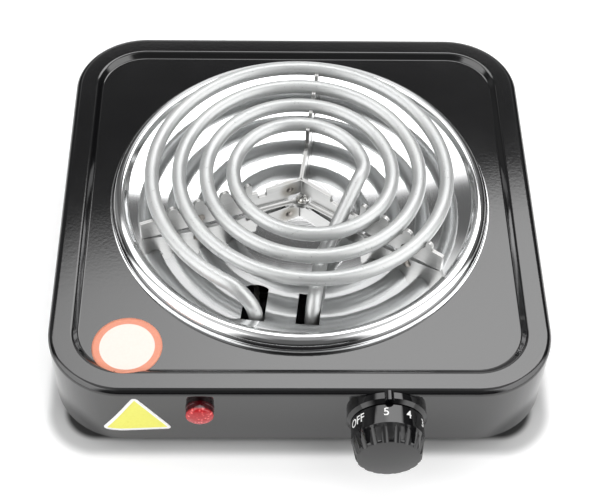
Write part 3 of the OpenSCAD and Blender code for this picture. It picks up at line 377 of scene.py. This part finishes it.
# %% Finish of the drip bowl
mirror = Finish("mirror_steel", base_color=(0.78, 0.785, 0.79), metallic=1.0, roughness=0.05)
from_axis = mirror.from_point(bowl_centre, (1, 1, 0))
rings = mirror.noise(scale=1500, detail=2.0, at=mirror.along(x=from_axis))
broad_rings = mirror.noise(scale=160, detail=2.0, at=mirror.along(x=from_axis))
smears = mirror.noise(scale=30, detail=4.0)
mirror.feed(
    base_color=mirror.mix(broad_rings, (0.72, 0.725, 0.73), (0.84, 0.845, 0.85)),
    roughness=0.045 + 0.05 * rings + 0.05 * smears.ramp(0.5, 0.8),
    normal=mirror.bump(0.6 * rings + 2.0 * broad_rings, strength=0.25, depth=0.03 * MM))
dress(mirror, "drip_bowl")

# %% [markdown]
# ## The element's sheath
# The tube was drawn, wound and then annealed, which leaves a soft grey skin: pale, not quite
# even, with fine specks. It is a metal, but it scatters light so much that it looks almost like
# paint. A broad noise moves the grey, and a fine one roughens it.

# %% Finish of the heating coil
sheath = Finish("element_sheath", base_color=(0.5, 0.51, 0.51), metallic=0.68, roughness=0.42)
clouds = sheath.noise(scale=70, detail=5.0, rough=0.6)
grain = sheath.noise(scale=1800, detail=3.0)
pits = sheath.noise(scale=900, detail=2.0).ramp(0.66, 0.72)
sheath.feed(
    base_color=sheath.mix(pits * 0.5, sheath.mix(clouds, (0.51, 0.52, 0.525), (0.66, 0.67, 0.66)),
                          (0.3, 0.3, 0.3)),
    roughness=0.35 + 0.14 * clouds,
    normal=sheath.bump(grain, strength=0.12, depth=0.12 * MM))
dress(sheath, "heating_coil")

# %% [markdown]
# ## Rolled strip
# The support is punched from cold rolled strip. Rolling leaves straight, very fine lines and a
# satin shine. Where the strips were welded together near the middle, the heat has left a brown
# cloud; its centre is found from the rivet nearest to the middle screw.

# %% Finish of the support
hub = middle("centre_screw")
rivet_points = [v.co for v in nodes["support_rivets"].data.vertices]
HUB_REACH = 12 * MM
near_hub = [p for p in rivet_points if (p - hub).to_2d().length < HUB_REACH]
weld = sum(near_hub, Vector()) / len(near_hub)
print("weld at", [round(v / MM, 1) for v in weld], "mm, from", len(near_hub), "points")

strip = Finish("support_strip", base_color=(0.45, 0.45, 0.44), metallic=1.0, roughness=0.33)
rolling = strip.noise(scale=500, detail=3.0, at=strip.stretched(0.15, 0.15, 3.0))
mottle = strip.noise(scale=120, detail=4.0)
heat = (1 - strip.from_point(weld).ramp(2.2 * MM, 6.5 * MM)) * (0.5 + mottle)
strip.feed(
    base_color=strip.mix(0.6 * heat, strip.mix(rolling, (0.40, 0.40, 0.395), (0.52, 0.52, 0.51)),
                         (0.30, 0.27, 0.22)),
    roughness=0.26 + 0.12 * mottle + 0.15 * heat,
    normal=strip.bump(rolling, strength=0.1, depth=0.05 * MM))
dress(strip, "support_front", "support_rear_left", "support_rear_right")

# %% [markdown]
# ## Galvanised sheet
# Hot dipped zinc freezes in crystals, so the sheet shows a patchwork of greys called spangle.
# A cell pattern gives each crystal its own grey and its own dullness.

# %% Finish of the base plate, tabs and brackets
spangle = Finish("galvanised_sheet", base_color=(0.55, 0.56, 0.57), metallic=1.0, roughness=0.4)
crystal = spangle.axes(spangle.cells(140, out="Color"))[0]
bloom = spangle.noise(scale=500, detail=4.0)
spangle.feed(
    base_color=spangle.mix(crystal, (0.42, 0.43, 0.44), (0.66, 0.67, 0.68)),
    roughness=0.28 + 0.2 * crystal + 0.08 * bloom,
    normal=spangle.bump(bloom, strength=0.1, depth=0.1 * MM))
dress(spangle, "base_plate", "corner_brackets", "bowl_tabs", "thermostat_frame")

# %% [markdown]
# ## Bright zinc
# Screws, nuts and clips are plated after they are made. The plate is bright with a hint of
# yellow and blue where the rinse dried, and the turned lines of the screw machine show through.

# %% Finish of the fasteners
zinc = Finish("zinc_plate", base_color=(0.7, 0.7, 0.71), metallic=1.0, roughness=0.25)
tint = zinc.noise(scale=350, detail=2.0)
turned = zinc.noise(scale=2500, detail=2.0)
zinc.feed(
    base_color=zinc.mix(tint, (0.66, 0.67, 0.72), (0.76, 0.74, 0.66)),
    roughness=0.18 + 0.12 * turned,
    normal=zinc.bump(turned, strength=0.12, depth=0.05 * MM))
dress(zinc, "centre_screw", "centre_washer", "centre_nut", "foot_screws",
      "knob_clip", "thermostat_shaft", "thermostat_screws", "stack_screw", "lens_clip",
      "terminal_screws", "terminal_pins", "crimp_sleeves", "earth_screw", "earth_nut")

# %% [markdown]
# ## Copper alloys, rivets and bimetal
# Turned brass, rolled bronze, the dull steel of the rivets and the bimetal strip differ in colour
# and in the direction of their marks, so one function makes all four. The marks are long where
# the number for that axis is small.

# %% Finishes of the bush, inserts, springs and rivets
def rolled_metal(name, dark, light, lines):
    metal = Finish(name, base_color=dark, metallic=1.0, roughness=0.3)
    marks = metal.noise(scale=900, detail=3.0, at=metal.stretched(*lines))
    stain = metal.noise(scale=200, detail=4.0)
    return metal.feed(
        base_color=metal.mix(0.7 * stain + 0.3 * marks, dark, light),
        roughness=0.2 + 0.2 * stain,
        normal=metal.bump(marks, strength=0.15, depth=0.05 * MM))


dress(rolled_metal("turned_brass", (0.62, 0.46, 0.18), (0.8, 0.66, 0.34), (0.3, 3.0, 0.3)),
      "thermostat_bush", "terminal_inserts")
dress(rolled_metal("spring_bronze", (0.5, 0.27, 0.12), (0.72, 0.45, 0.26), (0.2, 1.0, 3.0)),
      "contact_springs")
dress(rolled_metal("rivet_steel", (0.26, 0.24, 0.22), (0.40, 0.37, 0.34), (1.0, 1.0, 1.0)),
      "support_rivets")
dress(rolled_metal("bimetal", (0.42, 0.38, 0.32), (0.6, 0.55, 0.47), (0.2, 1.0, 3.0)),
      "bimetal_strip")

# %% [markdown]
# ## Mouldings
# The knob and its ring are pressed from phenolic resin, which comes out of a polished mould
# almost black and glossy, with faint flow marks. Nylon comes out dull, and rubber duller still,
# with a bloom of wax. They share one recipe: two tones, a flow noise and a fine grain.

# %% Finishes of the moulded pieces
def moulding(name, dark, light, gloss, grain, flow_scale=120, ior=1.5):
    """A resin between two tones, with a gloss, and a grain so many millimetres deep."""
    resin = Finish(name, base_color=dark, roughness=gloss, ior=ior)
    flow = resin.noise(flow_scale, detail=3.0, at=resin.stretched(1, 0.4, 1))
    fine = resin.noise(scale=2200, detail=2.0)
    return resin.feed(
        base_color=resin.mix(flow.ramp(0.35, 0.75), dark, light),
        roughness=gloss * (0.8 + 0.4 * flow),
        normal=resin.bump(fine, strength=0.15, depth=grain * MM))


dress(moulding("gloss_black", (0.002, 0.002, 0.0025), (0.004, 0.004, 0.0045), 0.05, 0.005, ior=1.6),
      "knob", "knob_bezel")
dress(moulding("black_nylon", (0.012, 0.012, 0.012), (0.022, 0.022, 0.022), 0.42, 0.08), "cord_gland")
dress(moulding("white_nylon", (0.78, 0.76, 0.68), (0.86, 0.85, 0.79), 0.38, 0.06), "terminal_block")
dress(moulding("foot_rubber", (0.014, 0.014, 0.014), (0.035, 0.034, 0.032), 0.62, 0.15, 60),
      "rubber_feet")
dress(moulding("steatite", (0.72, 0.68, 0.58), (0.86, 0.83, 0.75), 0.55, 0.12, 300),
      "coil_end_seals", "thermostat_rings")
dress(moulding("wire_insulation", (0.015, 0.015, 0.016), (0.03, 0.03, 0.031), 0.35, 0.04), "feed_wire")

# %% [markdown]
# ## Braided sleeving
# The wires near the heat wear a braid of glass yarn. Two sets of waves that cross at an angle,
# one per direction of the yarn, give the diamonds of the braid.

# %% Finish of the sleeved wires
braid = Finish("glass_sleeving", base_color=(0.8, 0.79, 0.74), roughness=0.7)
px, py, pz = braid.axes()
YARN = 2 * math.pi / (1.1 * MM)
yarn = (YARN * (px + py + pz)).sine() * (YARN * (px - py + pz)).sine()
fuzz = braid.noise(scale=1500, detail=3.0)
braid.feed(
    base_color=braid.mix(0.5 + 0.35 * yarn + 0.2 * fuzz, (0.55, 0.53, 0.47), (0.86, 0.85, 0.80)),
    roughness=0.62 + 0.15 * fuzz,
    normal=braid.bump(yarn + 0.5 * fuzz, strength=0.5, depth=0.1 * MM))
dress(braid, "coil_wire_left", "coil_wire_right", "lamp_wires")

# %% [markdown]
# ## The pilot lens
# The lens is a red cap with small facets inside, which break the light of the lamp behind it. Its side wall
# looks into the dark hole, so it gets a painted shade of deep red, while the front is painted a lighter red
# and given a painted glow that stands in for the lamp's light. The facets are a cell pattern, used twice: as
# patches of lighter red, painted glints of that light, and as small dents.

# %% Finish of the lens
lens_red = Finish("red_lens", base_color=(0.5, 0.02, 0.025), roughness=0.12, emission_strength=1.0)
_, lens_y, _ = lens_red.axes()
SIDE_SHARE = 0.62          # share of the lens's reach that is its straight side
dark_end = front_y - SIDE_SHARE * (front_y - lens_low.y)
# Painted shade: the straight side wall is dark red, and the front is painted lighter as if lit through.
painted_lit_front = 1 - lens_y.ramp(dark_end - 0.5 * MM, dark_end + 0.7 * MM)
facet = lens_red.cells(620, at=lens_red.stretched(1, 0.2, 1))
# Painted glints: the facets get lighter red patches where they would break the lamp's light.
painted_facet_glint = 1 - facet.ramp(0.1, 0.45)
front_red = lens_red.mix(painted_facet_glint, (0.38, 0.016, 0.02), (0.70, 0.11, 0.11))
# Painted glow: the lens front gives off light that stands in for the lamp behind it.
painted_lamp_glow = lens_red.mix(painted_facet_glint, (0.07, 0.0, 0.002), (0.24, 0.035, 0.035))
lens_red.feed(
    base_color=lens_red.mix(painted_lit_front, (0.05, 0.0, 0.002), front_red),
    emission_color=lens_red.mix(painted_lit_front, (0.0, 0.0, 0.0), painted_lamp_glow),
    normal=lens_red.bump(facet, strength=0.35, depth=0.2 * MM))
dress(lens_red, "indicator_lens")

# %% [markdown]
# ## The neon lamp
# A thin glass tube, slightly smoky inside near its tip, seen only from below and behind. It is
# kept partly clear with an alpha that is denser where the soot is.

# %% Finish of the lamp
envelope = Finish("lamp_glass", base_color=(0.9, 0.82, 0.76), roughness=0.05)
soot = envelope.noise(scale=400, detail=3.0)
envelope.feed(
    base_color=envelope.mix(soot, (0.92, 0.86, 0.8), (0.7, 0.5, 0.38)),
    alpha=0.35 + 0.35 * soot)
dress(envelope, "neon_lamp")

# %% [markdown]
# ## Numbers on the knob
# The numbers are printed round the skirt. Each is made flat as text, cut into narrow upright
# slices so that it can bend, and then wrapped: its width becomes an angle round the knob and its
# height a place along the axis. A print is a thin film, so it stands out by less than a tenth of
# a millimetre, and its underside is sunk into the skirt.

# %% Text that wraps round the skirt
PRINT_MIDDLE = 8.7 * MM    # from the housing's front to the middle of the print
PRINT_SIZE = 5.3 * MM
PRINT_HALF_T = 0.12 * MM   # half the film's thickness, since text is thickened both ways
PRINT_BOLD = 0.03 * MM
PRINT_SUNK = 0.4           # how deep the film's middle lies in the skirt, as a share of that half
SLICE = 0.5 * MM
SAME_POINT = 0.001 * MM


def flat_text(words):
    curve = bpy.data.curves.new("words", "FONT")
    curve.body = words
    curve.size = PRINT_SIZE
    curve.offset = PRINT_BOLD
    curve.extrude = PRINT_HALF_T
    curve.align_x = "CENTER"
    curve.align_y = "CENTER"
    words_object = bpy.data.objects.new("words", curve)
    mesh = words_object.to_mesh().copy()
    bpy.data.objects.remove(words_object)
    return mesh


print("letters", round(PRINT_SIZE / MM, 1), "mm high on a skirt of", round(skirt_r / MM, 1), "mm radius")


# %% Cut into slices and wrapped
def wrap_round_skirt(mesh, turn):
    """Turn the flat text into print on the skirt, this far round from the top."""
    shape = bmesh.new()
    shape.from_mesh(mesh)
    left = min(v.co.x for v in shape.verts)
    right = max(v.co.x for v in shape.verts)
    cuts = int((right - left) / SLICE)
    for k in range(1, cuts + 1):
        everything = shape.verts[:] + shape.edges[:] + shape.faces[:]
        cut_at = (left + k * SLICE, 0, 0)
        bmesh.ops.bisect_plane(shape, geom=everything, plane_co=cut_at, plane_no=(1, 0, 0))
    bmesh.ops.remove_doubles(shape, verts=shape.verts[:], dist=SAME_POINT)
    for v in shape.verts:
        angle = turn + v.co.x / skirt_r
        radius = skirt_r + v.co.z - PRINT_SUNK * PRINT_HALF_T
        v.co = (knob_axis.x + radius * math.sin(angle), front_y - PRINT_MIDDLE + v.co.y,
                knob_axis.z + radius * math.cos(angle))
    shape.to_mesh(mesh)
    shape.free()
    return mesh


# %% Print the numbers
# Each mark, and how far it lies round from the top, in degrees.
PRINTED = [("5", -5.5), ("4", 31.5), ("3", 67), ("2", 103), ("1", 139), ("OFF", -59)]
print_white = Finish("white_print", base_color=(0.85, 0.85, 0.84), roughness=0.45)
coverage = print_white.noise(scale=1400, detail=3.0)
print_white.feed(base_color=print_white.mix(coverage, (0.78, 0.78, 0.77), (0.92, 0.92, 0.91)),
                 roughness=0.35 + 0.2 * coverage)
for words, degrees in PRINTED:
    mesh = wrap_round_skirt(flat_text(words), math.radians(degrees))
    printed = bpy.data.objects.new("number_" + words, mesh)
    bpy.context.scene.collection.objects.link(printed)
    dress(print_white, printed)
    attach(printed, "knob_set")
print("numbers at", [degrees for _, degrees in PRINTED], "degrees from the top")

# %% [markdown]
# ## Stickers
# Two plain stickers sit on the enamel: a round one on the panel, whose front edge runs down into
# the step, and a three-cornered one on the front wall, which follows the wall round the corner.
# A sticker is cut flat as a fine net of points and then pressed on: each point is sent on to the
# housing along one direction until it meets the enamel, and stops a tenth of a millimetre before.

# %% Press points on to the housing
FILM = 0.1 * MM
SUNK = 0.02 * MM
FAR = 0.2                  # where a point starts from, in metres
housing_mesh = nodes["top_housing"].data
housing_tree = BVHTree.FromPolygons(
    [v.co for v in housing_mesh.vertices], [p.vertices[:] for p in housing_mesh.polygons])


def pressed_on(points, direction, lift):
    """Send each point along the direction to the enamel, and keep it this far off."""
    hits = [housing_tree.ray_cast(p - direction * FAR, direction)[0] for p in points]
    return [hit - direction * lift for hit in hits]


print("the housing has", len(housing_mesh.polygons), "faces to press on")

# %% [markdown]
# A sticker needs a back and a rim too, or it would be a sheet without thickness. The back is the
# same net, turned over. The rim joins the two along every step between neighbours that only one
# face takes.

# %% Make a closed sticker from a net
def sticker(name, net, faces, direction):
    """Press a flat net on to the housing as a closed film."""
    count = len(net)
    back = [tuple(count + k for k in reversed(face)) for face in faces]
    steps = {(face[k - 1], face[k]) for face in faces for k in range(len(face))}
    # A rim face starts at the lower of its two numbers, so that all of them split the same way.
    rim = [
        (a, count + a, count + b, b) if a < b else (b, a, count + a, count + b)
        for a, b in sorted(steps) if (b, a) not in steps
    ]
    mesh = bpy.data.meshes.new(name)
    points = pressed_on(net, direction, FILM) + pressed_on(net, direction, -SUNK)
    mesh.from_pydata(points, [], faces + back + rim)
    mesh.shade_smooth()
    made = bpy.data.objects.new(name, mesh)
    bpy.context.scene.collection.objects.link(made)
    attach(made, "housing")
    print(name, "has", len(mesh.polygons), "faces, of which", len(rim), "on its rim")
    return made


# %% The round sticker
ROUND_R = 15.3 * MM
ROUND_AT = Vector((-75.1 * MM, -82.8 * MM + body_y, 0))
RINGS, SPOKES = 16, 72

round_net = [ROUND_AT.copy()]
for ring in range(1, RINGS + 1):
    reach = ROUND_R * ring / RINGS
    for spoke in range(SPOKES):
        angle = math.tau * spoke / SPOKES
        round_net.append(ROUND_AT + Vector((reach * math.cos(angle), reach * math.sin(angle), 0)))
round_faces = [(0, 1 + s, 1 + (s + 1) % SPOKES) for s in range(SPOKES)]
for ring in range(RINGS - 1):
    here, there = 1 + ring * SPOKES, 1 + (ring + 1) * SPOKES
    for s in range(SPOKES):
        n = (s + 1) % SPOKES
        round_faces.append((here + s, there + s, there + n, here + n))
round_sticker = sticker("round_sticker", round_net, round_faces, Vector((0, 0, -1)))

# %% Finish of the round sticker
ROUND_WHITE_R = 12.0 * MM
INK_EDGE = 0.1 * MM
paper = Finish("round_paper", base_color=(0.9, 0.9, 0.88), roughness=0.35)
fibre = paper.noise(scale=900, detail=4.0)
from_middle = paper.from_point(ROUND_AT, (1, 1, 0))
white_part = 1 - from_middle.ramp(ROUND_WHITE_R - INK_EDGE, ROUND_WHITE_R + INK_EDGE)
salmon = paper.mix(fibre, (0.68, 0.24, 0.145), (0.76, 0.295, 0.19))
white = paper.mix(fibre, (0.75, 0.69, 0.63), (0.82, 0.76, 0.70))
paper.feed(
    base_color=paper.mix(white_part, salmon, white),
    roughness=0.28 + 0.15 * fibre,
    normal=paper.bump(fibre, strength=0.08, depth=0.05 * MM))
dress(paper, round_sticker)

# %% [markdown]
# ## The three-cornered sticker
# Its outline is three lines, in millimetres on the front wall: x to the right and z up. A line
# gives every point a distance, above 0 on the inner side. The same distances serve twice: to round
# the tips, and to leave a white margin round the yellow.

# %% The triangle and its lines
APEX = (-70.9, 42.1)
LEFT = (-87.0, 14.3)
RIGHT = (-55.1, 16.6)
centre = tuple((APEX[k] + LEFT[k] + RIGHT[k]) / 3 for k in (0, 1))


def edge_line(a, b):
    """The line through a and b as (nx, nz, offset), where the inside counts as positive."""
    nx, nz = b[1] - a[1], a[0] - b[0]
    size = math.hypot(nx, nz)
    nx, nz = nx / size, nz / size
    offset = -(nx * a[0] + nz * a[1])
    sign = 1 if nx * centre[0] + nz * centre[1] + offset > 0 else -1
    return sign * nx, sign * nz, sign * offset


lines = [edge_line(APEX, LEFT), edge_line(LEFT, RIGHT), edge_line(RIGHT, APEX)]
print("the middle lies", [round(n[0] * centre[0] + n[1] * centre[1] + n[2], 1) for n in lines], "mm in")

# %% Round its tips
CORNER_R = 1.6
ON_LINE = 1e-6


def rounded(x, z):
    """Pull a point that lies in a sharp tip back on to a round corner."""
    for tip in (APEX, LEFT, RIGHT):
        to_centre = Vector((centre[0] - tip[0], centre[1] - tip[1])).normalized()
        own = [n for n in lines if abs(n[0] * tip[0] + n[1] * tip[1] + n[2]) < ON_LINE]
        sine = own[0][0] * to_centre.x + own[0][1] * to_centre.y
        hold = Vector(tip) + to_centre * (CORNER_R / sine)
        offset = Vector((x, z)) - hold
        beyond = offset.dot(to_centre) < -CORNER_R * sine
        if beyond and offset.length > CORNER_R:
            offset = offset.normalized() * CORNER_R
            x, z = hold.x + offset.x, hold.y + offset.y
    return x, z


print("a tip moves from", APEX, "to", [round(v, 2) for v in rounded(*APEX)])

# %% Its net, row by row from the top
ROWS = 28
corner_net, corner_faces, row_start = [], [], []
for row in range(ROWS + 1):
    row_start.append(len(corner_net))
    down = row / ROWS
    for k in range(row + 1):
        across = k / row if row else 0
        foot = [(1 - across) * LEFT[i] + across * RIGHT[i] for i in (0, 1)]
        x, z = rounded(*[APEX[i] + down * (foot[i] - APEX[i]) for i in (0, 1)])
        corner_net.append(Vector((x * MM, 0, z * MM)))
for row in range(ROWS):
    a, b = row_start[row], row_start[row + 1]
    corner_faces += [(a + k, b + k, b + k + 1) for k in range(row + 1)]
    corner_faces += [(a + k, b + k + 1, a + k + 1) for k in range(row)]
corner_sticker = sticker("corner_sticker", corner_net, corner_faces, Vector((0, 1, 0)))

# %% Finish of the three-cornered sticker
MARGIN = 1.5 * MM
VINYL_EDGE = 0.08 * MM
vinyl = Finish("yellow_vinyl", base_color=(0.9, 0.85, 0.1), roughness=0.3)
vx, _, vz = vinyl.axes()
first, second, third = [nx * vx + nz * vz + offset * MM for nx, nz, offset in lines]
depth = first.least(second).least(third)
printed_part = depth.ramp(MARGIN - VINYL_EDGE, MARGIN + VINYL_EDGE)
mottled = vinyl.noise(scale=700, detail=3.0)
yellow = vinyl.mix(mottled, (0.83, 0.80, 0.10), (0.90, 0.88, 0.16))
vinyl.feed(
    base_color=vinyl.mix(printed_part, (0.93, 0.93, 0.92), yellow),
    roughness=0.24 + 0.12 * mottled,
    normal=vinyl.bump(mottled, strength=0.06, depth=0.05 * MM))
dress(vinyl, corner_sticker)

# %% [markdown]
# ## Floor
# A product like this stands on a white sweep that shows no edge. The floor would still be grey in the shadow
# round it, so it gives off a little light of its own, a painted glow, from the foot of the walls outwards,
# and has a painted shadow, dark well under the housing. That needs the distance from the housing's outline:
# measured from a box with its corners drawn in, less the radius by which they were drawn in.

# %% Floor
FLOOR_HALF = 3.0
floor_corners = [(-FLOOR_HALF, -FLOOR_HALF, 0), (FLOOR_HALF, -FLOOR_HALF, 0),
                 (FLOOR_HALF, FLOOR_HALF, 0), (-FLOOR_HALF, FLOOR_HALF, 0)]
floor_mesh = bpy.data.meshes.new("floor")
floor_mesh.from_pydata(floor_corners, [], [(0, 1, 2, 3)])
floor = bpy.data.objects.new("floor", floor_mesh)
bpy.context.scene.collection.objects.link(floor)
print("floor", 2 * FLOOR_HALF, "m wide")

# %% Distance from the housing's outline
FOOT_CORNER = 20 * MM
sweep = Finish("white_sweep", base_color=(0.62, 0.62, 0.62), roughness=0.6, emission_strength=1.0)


def outside(low, high):
    """Distance from a footprint on the floor, below 0 within it."""
    half = (high - low) / 2 - Vector((FOOT_CORNER, FOOT_CORNER, 0))
    from_centre = sweep.vector("SUBTRACT", sweep.where(), tuple((low + high) / 2))
    beyond = sweep.vector("SUBTRACT", sweep.vector("ABSOLUTE", from_centre), tuple(half))
    corner = sweep.vector("MAXIMUM", beyond, (0, 0, 0))
    return sweep.length(sweep.vector("MULTIPLY", corner, (1, 1, 0))) - FOOT_CORNER


gap = outside(shell_low, shell_high)
print("outline", [round(v / MM) for v in (shell_high - shell_low).to_2d()], "mm")

# %% Finish of the floor
# Painted glow: the floor gives off light near the housing, which lifts the shadow there.
PAINTED_GLOW_STRENGTH = 0.50
GLOW_WHOLE = 6.5 * MM              # at this distance the light from below is whole
GLOW_FADES = (30 * MM, 250 * MM)   # and between these it falls to less than a third
# Painted shadow: the floor's colour turns dark well under the housing.
PAINTED_SHADOW_UNDER = (-6.5 * MM, -3 * MM)
painted_glow = PAINTED_GLOW_STRENGTH * gap.ramp(0, GLOW_WHOLE) * (1 - 0.7 * gap.ramp(*GLOW_FADES))
sweep.feed(
    base_color=sweep.mix(gap.ramp(*PAINTED_SHADOW_UNDER), (0.04, 0.04, 0.04), (0.62, 0.62, 0.62)),
    roughness=0.55 + 0.1 * sweep.noise(scale=8, detail=3.0),
    emission_color=sweep.mix(painted_glow, (0, 0, 0), (1, 1, 1)))
dress(sweep, floor)

# %% [markdown]
# ## Light
# The panel is a black mirror and the bowl a bright one, so both show the studio directly. Here the
# studio is painted on the world: every direction gets a strength, as if a lamp stood there. A
# light over the panel is easiest to draw in slopes, which say how far a ray goes back, and how far
# sideways, while it rises by one. A tall light beside it is easier by the way it faces: 1 is
# straight at the front, 0 is the side and -1 is the back.

# %% Directions and slopes
LOWEST_RISE = 0.05
world = bpy.data.worlds.new("studio")
bpy.context.scene.world = world
world.use_nodes = True
sky = Finish("studio", tree=world.node_tree)
dx, dy, dz = sky.axes(sky.node("ShaderNodeTexCoord", out="Generated"))
rise = dz.most(LOWEST_RISE)
sideways = dx / rise
backwards = dy / rise
facing = (0 - dy) / sky.length(sky.along(x=dx, y=dy))
print("slopes are held below", round(1 / LOWEST_RISE), "to 1")

# %% [markdown]
# The hanging light is the one that the panel mirrors. It must end softly, or the panel would be
# grey all over. It hangs aslant: on the right it reaches further back, and its end is sharper
# there. It is dimmer on the left and towards the back.

# %% The hanging light
HANGING = 3.5
slant = sideways.most(-0.3).least(0.3)
far_end = 1 - backwards.ramp(0.79 + 0.27 * slant, 0.86 + 0.15 * slant)
near_end = backwards.ramp(0.18, 0.45)
both_tips = 1 - (sideways * sideways).ramp(0.6, 1.4)
hanging = far_end * near_end * both_tips
shade = (0.68 + 0.32 * sideways.ramp(-0.25, 0.06)) * (1.3 - 0.4 * backwards)
strength = HANGING * hanging * shade
print("hanging light", HANGING)

# %% [markdown]
# Two tall lights stand at the sides and reach round towards the front. The gap that they leave
# there draws the dark core in the front of the bowl's rim. A faint light overhead, off the middle
# on both sides, joins them to the hanging one.

# %% The side lights and the faint one overhead
SIDES = 2.2
OVERHEAD = 0.4
front_gap = facing.ramp(0.72, 0.9)
above = dz.ramp(0.82, 0.93)
sides = facing.ramp(-0.22, -0.02) * (1 - front_gap) * (1 - above) * (1 - hanging)
off_middle = (dx * dx).ramp(0.01, 0.06)
overhead = off_middle * dz.ramp(0.7, 0.85) * (1 - dy.ramp(0.15, 0.35)) * (1 - hanging)
strength = strength + SIDES * sides + OVERHEAD * overhead
print("side lights", SIDES, "and overhead", OVERHEAD)

# %% [markdown]
# Behind stands the lit sweep, with a weak glow at the far left. The rest of the room is nearly
# dark. Below the horizon the world is seen only past the edge of the floor, so it is white there.

# %% The sweep behind, the glow and the room
SWEEP = 0.9
LEFT_GLOW = 0.2
HORIZON = 0.03
AMBIENT = 0.10
ZENITH = 0.25
PAST_FLOOR = 1.1
behind = (1 - dz.ramp(0.64, 0.70)) * dy.ramp(0.4, 0.55) * (1 - (dx * dx).ramp(0.06, 0.16))
left_glow = (0 - dx).ramp(0.6, 0.8) * dy.ramp(0.3, 0.5)
room = HORIZON + AMBIENT * dz.ramp(0.15, 0.5) + ZENITH * dz.ramp(0.85, 0.97) * (1 - hanging)
past_floor = 1 - dz.ramp(-0.03, -0.005)
strength = strength + SWEEP * behind + LEFT_GLOW * left_glow + room + PAST_FLOOR * past_floor

background = world.node_tree.nodes["Background"]
background.inputs["Color"].default_value = (1, 1, 1, 1)
world.node_tree.links.new(strength.socket, background.inputs["Strength"])
bpy.context.scene.view_settings.view_transform = "Standard"
print("the studio takes", len(world.node_tree.nodes), "nodes")
